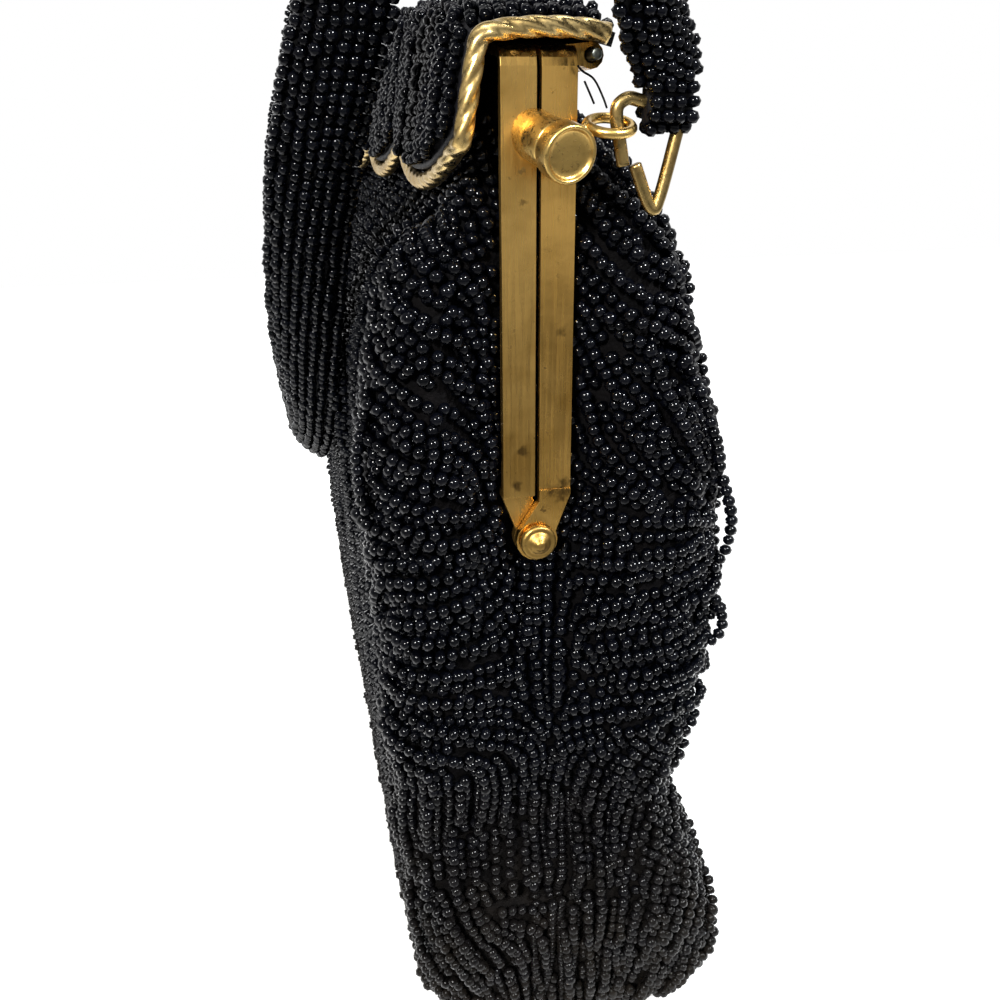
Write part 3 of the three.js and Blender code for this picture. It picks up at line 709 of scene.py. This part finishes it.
class Strands:
    """Evenly spaced strands on the unrolled end."""

    def __init__(self, end):
        self.end = end
        self.cells = {}
        self.lines = []
        self.flow = np.array([(s, z, math.radians(turn)) for s, z, turn in FLOW])

    def heading(self, s, z):
        away = (self.flow[:, 0] - s) ** 2 + (self.flow[:, 1] - z) ** 2
        weight = np.exp(-away / (2 * FLOW_REACH ** 2)) + 1e-9 / (1 + away)
        double = 2 * self.flow[:, 2]
        angle = 0.5 * math.atan2(float(weight @ np.sin(double)), float(weight @ np.cos(double)))
        return math.cos(angle), math.sin(angle)

    def free(self, s, z, room):
        """Whether a place is on the end, with no strand within room of it."""
        if not TRACE_FLOOR < z < TRACE_TOP:
            return False
        row = self.end.row_distance(z)
        if not row[0] < s < row[-1]:
            return False
        for i in (-1, 0, 1):
            for j in (-1, 0, 1):
                for other_s, other_z in self.cells.get((s // STRAND_PITCH + i, z // STRAND_PITCH + j), ()):
                    if (other_s - s) ** 2 + (other_z - z) ** 2 < room * room:
                        return False
        return True

    def keep(self, line):
        self.lines.append(line)
        for s, z in line:
            self.cells.setdefault((s // STRAND_PITCH, z // STRAND_PITCH), []).append((s, z))

    def trace(self, s, z, longest):
        """A strand both ways from a place, as long as it has room."""
        halves = []
        for way in (1, -1):
            here_s, here_z = s, z
            last = None
            half = []
            while len(half) * TRACE_STEP < longest / 2:
                ds, dz = self.heading(here_s, here_z)
                if last is None:
                    ds, dz = ds * way, dz * way
                elif ds * last[0] + dz * last[1] < 0:
                    ds, dz = -ds, -dz
                last = (ds, dz)
                here_s += ds * TRACE_STEP
                here_z += dz * TRACE_STEP
                if not self.free(here_s, here_z, STRAND_ROOM):
                    break
                half.append((here_s, here_z))
            halves.append(half)
        return halves[1][::-1] + [(s, z)] + halves[0]

    def fill(self, chance):
        """Strands beside strands until the end is covered."""
        waiting = [(s, z) for line in self.lines for s, z in line[::4]]
        waiting += [(chance.uniform(*SOWN_S), chance.uniform(*SOWN_Z)) for _ in range(FILL_TRIES)]
        place = 0
        while place < len(waiting):
            s, z = waiting[place]
            place += 1
            ds, dz = self.heading(s, z)
            for way in (1, -1):
                seed_s = s - dz * SEED_STEP * way
                seed_z = z + ds * SEED_STEP * way
                if not self.free(seed_s, seed_z, SEED_ROOM):
                    continue
                line = self.trace(seed_s, seed_z, chance.uniform(*STRAND_LENGTHS))
                if len(line) * TRACE_STEP > BEAD_PITCH * 1.1:
                    self.keep(line)
                    waiting += line[::4]

    def plug(self, chance):
        """Single beads in the holes that are left between strands."""
        reach = BEAD_PITCH * 0.55
        for _ in range(PLUG_TRIES):
            s, z = chance.uniform(*SOWN_S), chance.uniform(*SOWN_Z)
            if self.free(s, z, PLUG_ROOM):
                ds, dz = self.heading(s, z)
                self.keep([(s + ds * way * reach, z + dz * way * reach) for way in (-1, 0, 1)])


def bare_share(s, z):
    keep = 1.0
    for bare_s, bare_z, wide, high, share in BARE:
        keep *= 1 - share * bell(s - bare_s, wide) * bell(z - bare_z, high)
    return 1 - keep


def end_field():
    """The beads of the near end."""
    chance = random.Random(SEED)
    draws = np.random.default_rng(SEED)
    end = EndChart()
    strands = Strands(end)
    field = BeadField()
    for s in RIBS:
        line = [(s + 0.5 * math.sin(z / 7 + s), z) for z in np.arange(*RIB_Z, TRACE_STEP)]
        strands.keep(line)
        path, out = end.on_cloth(line)
        field.string(path, out, draws, RIB_PITCH, RIB_SIZE, 0.62, 0.4, 0.4)
    laid_first = len(strands.lines)
    for s in LEG_COLUMNS:
        strands.keep([(s, z) for z in np.arange(*LEG_COLUMN_Z, TRACE_STEP)])
    strands.keep([(s, LIP["z"] + 0.02 * s * s) for s in np.arange(LIP["from"], LIP["to"], TRACE_STEP)])
    strands.fill(chance)
    strands.plug(chance)
    for line in strands.lines[laid_first:]:
        run = []
        height = chance.uniform(0.35, 1.0)
        for place in line + [None]:
            gone = place is None or chance.random() < bare_share(*place)
            if not gone:
                run.append(place)
                continue
            if len(run) > 2:
                path, out = end.on_cloth(run)
                field.string(path, out, draws, rise=height)
            run = []
    add_loops(end, field, chance, draws)
    return field.beads()


def add_loops(end, field, chance, draws):
    """Slack strands that arch over the others."""
    over = Strands(end)
    for _ in range(LOOP_TRIES):
        s, z = chance.uniform(*SOWN_S), chance.uniform(*LOOP_Z)
        if not over.free(s, z, STRAND_PITCH):
            continue
        line = over.trace(s, z, chance.uniform(*LOOP_LENGTHS))
        bare = max(bare_share(*place) for place in line)
        if len(line) * TRACE_STEP < LOOP_LENGTHS[0] / 2 or chance.random() < bare * 1.4:
            continue
        over.keep(line)
        path, out = end.on_cloth(line)
        arched = np.sin(np.pi * np.linspace(0, 1, len(line))) ** 0.6 * chance.uniform(*LOOP_RISE)
        field.string(path + out * arched[:, None], out, draws, rise=0.7)


HARD_NODES = ["front_frame", "back_frame", "rivet_right", "post_right", "strap_ring_right", "flap_rope",
              "flap_panel"]
hard_trees = [surface_of(name) for name in HARD_NODES]
near_beads = clear_of(end_field(), hard_trees)


# Faces: strands that hang down from the frame and sway a little together
FACE_PITCH = 2.45
FACE_BEAD = 2.3
FRONT_TOP = 178
BACK_TOP = 184
FACE_FOOT = 2.6
FACE_BEND = 164
FACE_STEP = 1.2
BEND_STEP = 0.4


def face_field(side, top):
    """The beads of the front (side -1) or back (side 1)."""
    draws = np.random.default_rng(SEED + 5 + side)
    field = BeadField()
    low_steps = np.arange(FACE_FOOT, FACE_BEND, FACE_STEP)
    levels = np.concatenate([low_steps, np.arange(FACE_BEND, top, BEND_STEP)])
    rows = row_of(levels)
    reach = CORE_X - 0.5
    for x in np.arange(-reach, reach, FACE_PITCH):
        sway = 0.8 * np.sin(levels / 11 + 0.05 * x) + 0.5 * np.sin(levels / 5.3 + 0.13 * x)
        place = np.clip(x + sway, -CORE_X, CORE_X)
        column = (place + CORE_X) / (2 * CORE_X) * (FACE_RAYS - 1)
        if side > 0:
            column = 2 * FACE_RAYS + END_RAYS - 1 - column
        path = sample(chart, column, rows)
        rise = draws.uniform(0.4, 1.5)
        field.string(path, sample(normals, column, rows), draws, size=FACE_BEAD, rise=rise)
    return clear_of(field.beads(), [flap_tree])


flap_tree = surface_of("flap_panel")
front_beads = face_field(-1, FRONT_TOP)
back_beads = face_field(1, BACK_TOP)
far_beads = near_beads * np.array([-1, 1, 1, -1, 1, 1, -1, 1, 1, 1, 1])

# Strands that have come loose, and one stray bead on its thread: x, y from the frame's plane, z
LOOSE_STRANDS = [
    [(101, 30.1, 133.4), (101.5, 33.4, 128), (102, 35.9, 122.6), (102, 36.9, 117.7), (101.5, 36.4, 112.2),
     (101, 34.4, 107.5)],
    [(101, 33.9, 103.9), (101, 36.4, 100.4), (101, 37.3, 96), (101, 35.5, 93), (101, 32.7, 92.3)],
    [(98, -26.6, 144.1), (98.4, -27.9, 139.7), (98.6, -28.9, 134.7), (98.4, -28.9, 128.9),
     (98, -27.7, 124)],
    [(106, 24, 150), (107.4, 27, 143), (107, 30, 136), (105, 32.5, 129)],
    [(107.5, 17, 152), (109, 20, 145), (108.8, 24, 138), (107, 28.5, 130)],
]
STRAY_BEAD = [(98, 24.8, 162.6), (98, 27.4, 161.4)]


def loose_beads():
    draws = np.random.default_rng(SEED + 9)
    field = BeadField()
    for points in LOOSE_STRANDS + [STRAY_BEAD]:
        path = drawn(points, 40)
        out = np.tile((1.0, 0, 0.2), (len(path), 1))
        field.string(path, out, draws, rise=0.0, loose=0.5)
    return field.beads()


def add_halves(name, field, body, material):
    """Beads of the near half in more detail than those of the far half."""
    near = field[:, 0] > 0
    make_piece(f"{name}_right", bead_mesh(field[near], MIDDLE), body, material)
    make_piece(f"{name}_left", bead_mesh(field[~near], COARSE), body, material)


SPLIT_Z = 98
upper = near_beads[:, 2] > SPLIT_Z
upper_beads = np.concatenate([near_beads[upper], loose_beads()])
CLOTH_BEADS = [
    ("beads_end_right_upper", upper_beads, FINE, end_beads),
    ("beads_end_right_lower", near_beads[~upper], FINE, end_beads),
    ("beads_end_left", far_beads, COARSE, end_beads),
    ("beads_front", front_beads, COARSE, face_beads),
    ("beads_back", back_beads, COARSE, face_beads),
]
for name, field, detail, material in CLOTH_BEADS:
    make_piece(name, bead_mesh(field, detail), "bag", material)


# Strap: its centre line from the right loop to the middle of its sag, then mirrored. Rows are
# x, y from the frame's plane, z, heading, which turns the band's width from +Y to -Y, and tilt,
# which lifts its outer edge about the centre line.
STRAP_ROUTE = [
    (110.2, 14.7, 190.2, 0, 0),
    (112.4, 12.2, 200, 33, 0),
    (114, 7.5, 213, 55, 0),
    (112, 0, 225.5, 73, 0),
    (107.2, -9, 232, 92, 0),
    (101.5, -17, 228.5, 114, 0),
    (97, -22.4, 217, 143, 0),
    (93, -25.6, 202, 167, 0),
    (86, -30.2, 186, 180, 4),
    (73, -33.4, 166, 180, 12),
    (56, -34.6, 146, 180, 30),
    (32, -34.6, 123, 180, 52),
    (0, -34.6, 112, 180, 65),
]
STRAP_START_Z = STRAP_ROUTE[0][2]
STRAP_STEPS = 320
STRAP_COLUMNS = 8
STRAP_BEAD = 2.2
STRAP_PITCH = 1.84
STRAP_TAPER = 13
STRAP_END = 0.62
BAND_HALF = 6.1
BAND_THICK = 0.9
BAND_CROWN = 2.2
LOOP_Y = FRAME_Y + 17.2
LOOP_WIDTH = 7.6
LOOP_DEPTH = 2.1
LOOP_BOTTOM = 184.2
LOOP_COLUMNS = 4
RING_X = 110


def strap_frames():
    """Places along the strap with the directions across it and off its beaded side."""
    right = [(x, FRAME_Y + y, z, heading, tilt) for x, y, z, heading, tilt in STRAP_ROUTE]
    left = [(-x, y, z, 360 - heading, tilt) for x, y, z, heading, tilt in right[-2::-1]]
    route = through(np.array(right + left), STRAP_STEPS)
    place = route[:, :3]
    turn = np.radians(route[:, 3])
    along = unit(np.gradient(place, axis=0))
    across = np.stack([-np.sin(turn), np.cos(turn), np.zeros(len(turn))], 1)
    across = unit(across - along * np.sum(across * along, 1, keepdims=True))
    tilt = np.radians(route[:, 4:5])
    across = across * np.cos(tilt) + np.cross(along, across) * np.sin(tilt)
    return place, across, np.cross(across, along)


def strap_width(place):
    """Width along the strap as a share of the full width: its front edge draws in at both ends."""
    distance = travelled(place)
    from_end = np.minimum(distance, distance[-1] - distance)
    return STRAP_END + (1 - STRAP_END) * smoothstep(0, STRAP_TAPER, from_end)[:, None]


def across_strap(place, across, wide):
    """The line along the strap that lies wide to the back of its middle."""
    return place + across * (BAND_HALF - (BAND_HALF - wide) * strap_width(place))


def strap_band(place, across, outward):
    """The band: a crowned beaded side over a flat satin back."""
    wide = BAND_HALF * np.linspace(1, -1, 9)
    crown = BAND_CROWN * (1 - (wide / BAND_HALF) ** 2)
    section = [(w, c) for w, c in zip(wide, crown)]
    section += [(w, -BAND_THICK) for w in wide[::-1] * 0.97]
    rings = [across_strap(place, across, w) + outward * t for w, t in section]
    return closed_skin(np.stack(rings, 1)[:, ::-1])


def strap_loop():
    """The doubled end of the strap, drawn in to hang on its ring."""
    rows = []
    top = STRAP_START_Z + 1
    angle = circle(28)
    for part in np.linspace(0, 1, 12):
        half = LOOP_WIDTH / 2 - 0.2
        depth = LOOP_DEPTH * math.sqrt(max(1 - (1 - min(part * 4, 1)) ** 2, 0.06))
        y = LOOP_Y + np.sign(np.cos(angle)) * np.abs(np.cos(angle)) ** 0.5 * half
        x = RING_X + np.sign(np.sin(angle)) * np.abs(np.sin(angle)) ** 0.7 * depth
        rows.append(np.stack([x, y, np.full(28, LOOP_BOTTOM + 0.2 + part * (top - LOOP_BOTTOM))], 1))
    return closed_skin(np.array(rows)[:, ::-1])


def strap_bead_field(place, across, outward):
    """Columns of beads along the band, and down over the loop where they meet it."""
    draws = np.random.default_rng(SEED + 21)
    field = BeadField()
    for number in range(STRAP_COLUMNS):
        wide = BAND_HALF * (1 - 2 * number / (STRAP_COLUMNS - 1))
        crown = BAND_CROWN * (1 - (wide / BAND_HALF) ** 2)
        lean = 0.9 * wide / BAND_HALF
        path = across_strap(place, across, wide) + outward * crown
        out = unit(outward + across * lean)
        field.string(path, out, draws, STRAP_PITCH, STRAP_BEAD, rise=0.7, phase=0.5 * (number % 2))
    half = LOOP_WIDTH / 2 - STRAP_BEAD / 2
    for wide in np.linspace(-half, half, LOOP_COLUMNS):
        for side in (1, -1):
            ends = [(side * (RING_X + depth), LOOP_Y + wide, z) for depth, z in
                    ((-LOOP_DEPTH, LOOP_BOTTOM + 3), (-LOOP_DEPTH * 0.6, LOOP_BOTTOM + 0.6),
                     (LOOP_DEPTH * 0.6, LOOP_BOTTOM + 0.6), (LOOP_DEPTH, LOOP_BOTTOM + 3),
                     (LOOP_DEPTH, STRAP_START_Z))]
            drop = through(ends, 40)
            away = unit(drop - np.array((side * RING_X, LOOP_Y + wide, LOOP_BOTTOM + 4)))
            field.string(drop, away, draws, STRAP_PITCH, STRAP_BEAD, rise=0.5)
    return field.beads()


strap_place, strap_across, strap_outward = strap_frames()
band = strap_band(strap_place, strap_across, strap_outward)
strap_shape = joined([band, strap_loop(), mirrored(*strap_loop())])
make_piece("strap_band", strap_shape, "bag", satin, "strap")
strap_field = strap_bead_field(strap_place, strap_across, strap_outward)
add_halves("strap_beads", strap_field, "bag", strap_beads)


# Flap
FLAP_SECTIONS = 131
FLAP_POINTS = 44
FLAP_COLUMN_PITCH = 2.5
FLAP_BEAD = 2.3


def lobe_edge(x):
    """Height of the scalloped edge at x."""
    pitch = 2 * FLAP_HALF / LOBES
    offset = np.mod(x + FLAP_HALF, pitch) - pitch / 2
    radius = ((pitch / 2) ** 2 + LOBE_DROP ** 2) / (2 * LOBE_DROP)
    edge = CUSP_Z - LOBE_DROP + radius - np.sqrt(radius * radius - offset * offset)
    return np.where(np.abs(x) >= FLAP_HALF, CUSP_Z, edge)


def flap_profile(x, bottom):
    """The outside of the flap at x, from its back edge over the top to bottom: rows of y, z."""
    top = FLAP_TOP + float(arch(x))
    corners = np.array([
        (FLAP_BACK_Y, FLAP_BACK_Z),
        (FLAP_BACK_Y, top - 1.5),
        (FLAP_BACK_Y - 1.2, top),
        (FRAME_Y + 1, top + 0.7),
        (FLAP_FRONT_Y + 3, top),
        (FLAP_FRONT_Y + 0.7, top - 1),
        (FLAP_FRONT_Y, top - 3),
        (FLAP_FRONT_Y - FLAP_SLOPE * (top - 3 - bottom), bottom),
    ])
    for _ in range(2):
        nearer = corners[:-1] * 0.75 + corners[1:] * 0.25
        further = corners[:-1] * 0.25 + corners[1:] * 0.75
        cut = np.stack([nearer, further], 1).reshape(-1, 2)
        corners = np.concatenate([corners[:1], cut[1:-1], corners[-1:]])
    return evenly(corners, FLAP_POINTS)


def profile_outward(profile):
    along = unit(np.gradient(profile, axis=0))
    return np.stack([along[:, 1], -along[:, 0]], 1)


def flap_sheet():
    """The stiff panel under the beads, with its thickness, as one closed sheet."""
    rings = []
    for x in np.linspace(-FLAP_HALF, FLAP_HALF, FLAP_SECTIONS):
        outside = flap_profile(x, float(lobe_edge(x)))
        inside = outside - profile_outward(outside) * FLAP_THICK * 0.9
        loop = np.concatenate([outside, inside[::-1]])
        rings.append(np.column_stack([np.full(len(loop), x), loop]))
    rings = np.array(rings)
    rows, columns, _ = rings.shape
    sides = skin(rows, columns, True)
    a = np.arange(columns // 2 - 1)
    b = a + 1
    c = columns - 2 - a
    d = columns - 1 - a
    start = np.concatenate([np.stack([a, c, b], 1), np.stack([a, d, c], 1)])
    end = start[:, ::-1] + (rows - 1) * columns
    return rings.reshape(-1, 3), np.concatenate([sides, start, end])


def flap_barrel():
    """The rolled edge that turns on the pin, and the web that joins it to the panel."""
    bore = PIN_RADIUS + GAP
    profile = [(-BARREL_HALF, bore), (-BARREL_HALF, BARREL_RADIUS), (BARREL_HALF, BARREL_RADIUS),
               (BARREL_HALF, bore)]
    angle = circle(20)
    rings = []
    for x, radius in profile:
        ring = [np.full(20, x), HINGE_Y + radius * np.cos(angle), HINGE_Z + radius * np.sin(angle)]
        rings.append(np.stack(ring, 1))
    tube = (np.array(rings).reshape(-1, 3), looped_skin(len(rings), 20))
    outer, inner, top = FLAP_BACK_Y - 0.2, FLAP_BACK_Y - FLAP_THICK + 0.3, FLAP_BACK_Z + 0.6
    web = [(HINGE_Y + 1.3, HINGE_Z + 1.2), (outer, HINGE_Z + 0.3), (outer, top), (inner, top)]
    ends = [np.array([(x, y, z) for y, z in web]) for x in (-BARREL_HALF, BARREL_HALF)]
    return joined([tube, closed_skin(ends)])


def flap_bead_field():
    draws = np.random.default_rng(SEED + 33)
    field = BeadField()
    reach = FLAP_HALF - 0.9
    for x in np.arange(-reach, reach + 0.1, FLAP_COLUMN_PITCH):
        profile = flap_profile(x, float(lobe_edge(x)) + 0.3)
        sway = 0.35 * np.sin(profile[:, 1] / 4 + x / 9)
        path = np.column_stack([x + sway, profile])
        outward = profile_outward(profile)
        out = np.column_stack([np.zeros(len(outward)), outward])
        field.string(path, out, draws, size=FLAP_BEAD, rise=draws.uniform(0.5, 1.6))
    return field.beads()


flap_shape = joined([flap_sheet(), flap_barrel()])
make_piece("flap_cloth", flap_shape, "flap", satin, "flap_panel")
add_halves("flap_beads", flap_bead_field(), "flap", flap_beads)


# Twisted gilt rope round the flap's ends and scallops
ROPE_STRANDS = 4
ROPE_LAY = 15.0
ROPE_SIDES = 24
ROPE_STEP = 0.45
STRAND_RADIUS = 0.64
STRAND_OFFSET = 0.4


def rope_path():
    out = FLAP_HALF + ROPE_RADIUS + GAP
    drop = ROPE_RADIUS + 2 * GAP
    end = flap_profile(FLAP_HALF, CUSP_Z - drop)
    end = end - profile_outward(end) * FLAP_THICK / 2
    end = end[2:]
    right = np.column_stack([np.full(len(end), out), end])
    bottom = []
    for x in np.linspace(FLAP_HALF, -FLAP_HALF, LOBES * 24 + 1)[1:-1]:
        z = float(lobe_edge(x)) - drop
        profile = flap_profile(x, z)
        inner = profile[-1] - profile_outward(profile)[-1] * FLAP_THICK / 2
        bottom.append((x, inner[0], z))
    path = np.concatenate([right, bottom, right[::-1] * (-1, 1, 1)])
    return evenly(path, int(steps_of(path).sum() / ROPE_STEP))


def rope():
    """Strands laid round each other: the section's lobes turn along the rope."""
    path = rope_path()
    for _ in range(3):
        path[1:-1] = (path[:-2] + 2 * path[1:-1] + path[2:]) / 4
    _, across, up = carried_frames(path)
    angles = circle(ROPE_SIDES)
    turn = 2 * np.pi * np.arange(len(path)) * ROPE_STEP / ROPE_LAY
    lobe = 2 * np.pi / ROPE_STRANDS
    from_strand = np.mod(angles[None] - turn[:, None] + lobe / 2, lobe) - lobe / 2
    reach = STRAND_OFFSET * np.cos(from_strand)
    reach += np.sqrt(STRAND_RADIUS ** 2 - (STRAND_OFFSET * np.sin(from_strand)) ** 2)
    return closed_skin(path[:, None] + spokes(across, up, ROPE_SIDES) * (ROPE_RADIUS * reach)[..., None])


make_piece("flap_rope_twisted", rope(), "flap", gilt_rope, "flap_rope")


# Knobs, rivets, rings and pin
POST_SEAT = np.array((FRAME_HALF + GAP, FRAME_Y - 0.4, 183.1))
POST_LEAN = unit(np.array((0.943, 0.227, -0.243)))
EYE_CENTRE = np.array((109.4, FRAME_Y + 8.9, 184.4))
EYE_RADIUS = 3.2
EYE_WIRE = 0.75
EYE_TILT = 20
RING_GAUGE = 0.95
RIVET_Z = 119
STEM_AT = 6.7
KNOB_PROFILE = [
    (0, 3.6), (2, 3.62), (6.1, 3.7), (6.35, 3.62), (6.45, 3.4), (6.8, 3.4), (6.9, 3.8), (7.0, 3.98),
    (7.25, 4.1), (9.8, 4.1), (10.05, 4.06), (10.22, 3.92), (10.3, 3.72), (10.24, 3.54), (10.08, 3.42),
    (9.8, 3.3), (9.62, 3.0), (9.54, 2.4), (9.5, 1.3), (9.5, 0.3),
]
RIVET_PROFILE = [
    (99.1, 0.3), (99.1, 2.0), (100.1, 2.3), (100.1, 1.1), (104.6, 1.1), (104.6, 3.05), (104.9, 3.1),
    (105.3, 3.05), (105.6, 2.85), (105.75, 2.5), (105.7, 2.2), (105.8, 1.95), (106.2, 1.7), (106.42, 1.35),
    (106.6, 1.05), (106.9, 0.85), (107.08, 0.55), (107.15, 0.2),
]
RING_WIRE = [
    (10.9, 179.1), (10.2, 182.6), (9.7, 185), (9.8, 187), (11.3, 188), (13.5, 187.6), (18.4, 187.2),
    (19.6, 186.2), (19.1, 184.4), (16.6, 174.3), (15.9, 172.8), (15.1, 173.6), (12.7, 179.1),
]


def eye():
    """The soldered eye: a ring of wire with its outer side a little lower."""
    around, sides = 48, 16
    angle = circle(around)[:, None]
    turn = circle(sides)[None]
    spread = EYE_RADIUS + EYE_WIRE * np.cos(turn)
    flat = np.stack([spread * np.cos(angle), spread * np.sin(angle),
                     np.repeat(EYE_WIRE * np.sin(turn), around, 0)], 2)
    tilt = math.radians(EYE_TILT)
    x = flat[..., 0] * math.cos(tilt) + flat[..., 2] * math.sin(tilt)
    z = flat[..., 2] * math.cos(tilt) - flat[..., 0] * math.sin(tilt)
    points = EYE_CENTRE + np.stack([x, flat[..., 1], z], 2)
    return points.reshape(-1, 3), looped_skin(around, sides)


def knob():
    """A leaning barrel whose foot is cut off flat on the leg, a groove and a dished cap."""
    rings = turned_rings(KNOB_PROFILE, POST_SEAT, POST_LEAN, 64)
    slide = (FRAME_HALF - rings[0, :, 0]) / POST_LEAN[0]
    rings[0] += POST_LEAN * slide[:, None]
    return closed_skin(rings)


def post():
    root = POST_SEAT + POST_LEAN * STEM_AT
    touch = EYE_CENTRE - (0, EYE_RADIUS, 0)
    return joined([knob(), eye(), wire(np.linspace(root, touch, 6), EYE_WIRE * 1.15, 14)])


def rivet():
    return turned(RIVET_PROFILE, (0, FRAME_Y, RIVET_Z), (1, 0, 0), 48)


def strap_ring():
    return wire(drawn([(RING_X, y, z) for y, z in RING_WIRE], 120), RING_GAUGE, 18)


def pin():
    half = [(PIN_REACH - PIN_CHAMFER, PIN_RADIUS), (PIN_REACH, PIN_RADIUS - PIN_CHAMFER), (PIN_REACH, 0.2)]
    profile = [(-along, radius) for along, radius in half[::-1]] + half
    return turned(profile, (0, HINGE_Y, HINGE_Z), (1, 0, 0), 20)


PAIRS = [
    ("post", post(), "gilt_amber", gilt_knob),
    ("rivet", rivet(), "gilt_amber", gilt_rivet),
    ("strap_ring", strap_ring(), "gilt_wire", gilt_wire),
]
for name, shape, slot, material in PAIRS:
    make_piece(f"{name}_right_turned", shape, "bag", material, f"{name}_right")
    make_piece(f"{name}_left_turned", mirrored(*shape), "bag", material, f"{name}_left")
make_piece("hinge_pin_drawn", pin(), "bag", steel, "hinge_pin")


# Loose threads by the hinge: x, y from the frame's plane, z
THREADS = [
    [(105.5, 5.2, 192.4), (106, 5.7, 191.7), (106, 7.4, 190.7), (106.4, 8.8, 188.2), (107, 9.2, 186.8)],
    [(105, 6.4, 190.4), (105.4, 7.2, 188.6), (106, 7.6, 187.4)],
]
THREAD_RADIUS = 0.16


def threads():
    return joined([wire(drawn(points, 30), THREAD_RADIUS, 8) for points in THREADS])


make_piece("threads", threads(), "bag", cloth)


# Frame strips: the solids, with their edges worn round
EDGE_WEAR = 0.32


def worn_metal(name, material):
    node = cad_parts[name]
    weld = node.modifiers.new("weld", "WELD")
    weld.merge_threshold = 0.01 * MM
    edges = node.modifiers.new("worn_edges", "BEVEL")
    edges.width = EDGE_WEAR * MM
    edges.segments = 3
    edges.limit_method = "ANGLE"
    edges.angle_limit = math.radians(38)
    for slot in node.material_slots:
        slot.material = material


worn_metal("front_frame", gilt_pale)
worn_metal("back_frame", gilt_amber)


# Stage, light and camera
FLOOR_HALF = 1.1
FLOOR_DROP = 0.0004
LIGHTS = [
    {"name": "key", "place": (0.75, -0.5, 0.62), "size": 0.16, "power": 2.1, "colour": (1, 0.98, 0.95)},
    {"name": "second", "place": (0.62, 0.42, 0.72), "size": 0.14, "power": 1.8, "colour": (0.95, 0.97, 1)},
    {"name": "top", "place": (0.1, 0.1, 1.0), "size": 0.3, "power": 0.35, "colour": (1, 1, 1)},
]
LAMP_SPREAD = 60
# Painted light on the floor: a glow from its emission that grows with distance from the bag, and painted
# shade that turns it grey towards the camera
FLOOR_GLOW = (0.18, 0.85)
FLOOR_GLOW_X = (-0.1, -0.7)
FLOOR_WHITE = 0.88
FLOOR_GREY = 0.3
FLOOR_FADE_X = (0.095, 0.18)
WORLD_WHITE = (-0.74, 1.0)
WORLD_DIM = (-0.4, 0.5)
AIM = (0.02, 0, 0.12)


def add_floor():
    mesh = bpy.data.meshes.new("floor")
    half = FLOOR_HALF
    corners = [(-half, -half, -FLOOR_DROP), (half, -half, -FLOOR_DROP), (half, half, -FLOOR_DROP),
               (-half, half, -FLOOR_DROP)]
    mesh.from_pydata(corners, [], [(0, 1, 2, 3)])
    finish = Finish("floor_paper_painted_glow_and_shade", {"Specular IOR Level": 0.1, "Emission Color": rgba(1, 1, 1)})
    # Painted light: the floor glows, weakly near the bag and strongly far off, and stops glowing towards
    # the camera
    along = finish.axis("X")
    glow = finish.span(along, *FLOOR_GLOW_X, *FLOOR_GLOW)
    finish.drive("Emission Strength", finish.times(glow, finish.span(along, *FLOOR_FADE_X, 1, 0)))
    grain = finish.noise(300, 4)
    # Painted shade: towards the camera the floor fades from white to grey, which also darkens its
    # reflection in the beads
    fade = finish.plus(finish.span(along, *FLOOR_FADE_X), finish.span(grain, 0, 1, -0.02, 0.02))
    white, grey = [rgba(tone, tone, tone) for tone in (FLOOR_WHITE, FLOOR_GREY)]
    finish.drive("Base Color", finish.mix(fade, white, grey))
    finish.drive("Roughness", finish.span(grain, 0, 1, 0.8, 0.95))
    mesh.materials.append(finish.material)
    add_object("floor", mesh)


def point(thing, place, forward, roll=0):
    """Stand a lamp or camera at a place, looking forward and rolled by some degrees."""
    thing.location = place
    thing.rotation_mode = "QUATERNION"
    level = forward.to_track_quat("-Z", "Y")
    thing.rotation_quaternion = level @ Quaternion((0, 0, 1), math.radians(roll))


def add_lights():
    for row in LIGHTS:
        light = bpy.data.lights.new(row["name"], "AREA")
        light.shape = "DISK"
        light.size = row["size"]
        light.spread = math.radians(LAMP_SPREAD)
        light.energy = row["power"]
        light.color = row["colour"]
        place = Vector(row["place"])
        point(add_object(row["name"], light), place, Vector(AIM) - place)


def add_world():
    """A white studio behind the bag, dimmer on the side that its beads reflect."""
    world = bpy.data.worlds.new("studio")
    world.use_nodes = True
    tree = world.node_tree
    background = tree.nodes["Background"]
    kinds = ("TexCoord", "SeparateXYZ", "MapRange")
    place, axes, ramp = [tree.nodes.new("ShaderNode" + kind) for kind in kinds]
    tree.links.new(place.outputs["Generated"], axes.inputs[0])
    tree.links.new(axes.outputs["X"], ramp.inputs["Value"])
    for socket, value in zip((1, 3, 2, 4), WORLD_WHITE + WORLD_DIM):
        ramp.inputs[socket].default_value = value
    tree.links.new(ramp.outputs[0], background.inputs["Color"])
    background.inputs["Strength"].default_value = 1.0
    bpy.context.scene.world = world


def add_camera():
    data = bpy.data.cameras.new("camera")
    data.lens = CAMERA_LENS
    data.sensor_width = 36
    data.clip_start = 0.005
    camera = add_object("camera", data)
    point(camera, Vector(CAMERA_PLACE) * MM, Vector(CAMERA_FORWARD), CAMERA_ROLL)
    bpy.context.scene.camera = camera


add_floor()
add_lights()
add_world()
add_camera()
bpy.context.scene.view_settings.view_transform = "Standard"
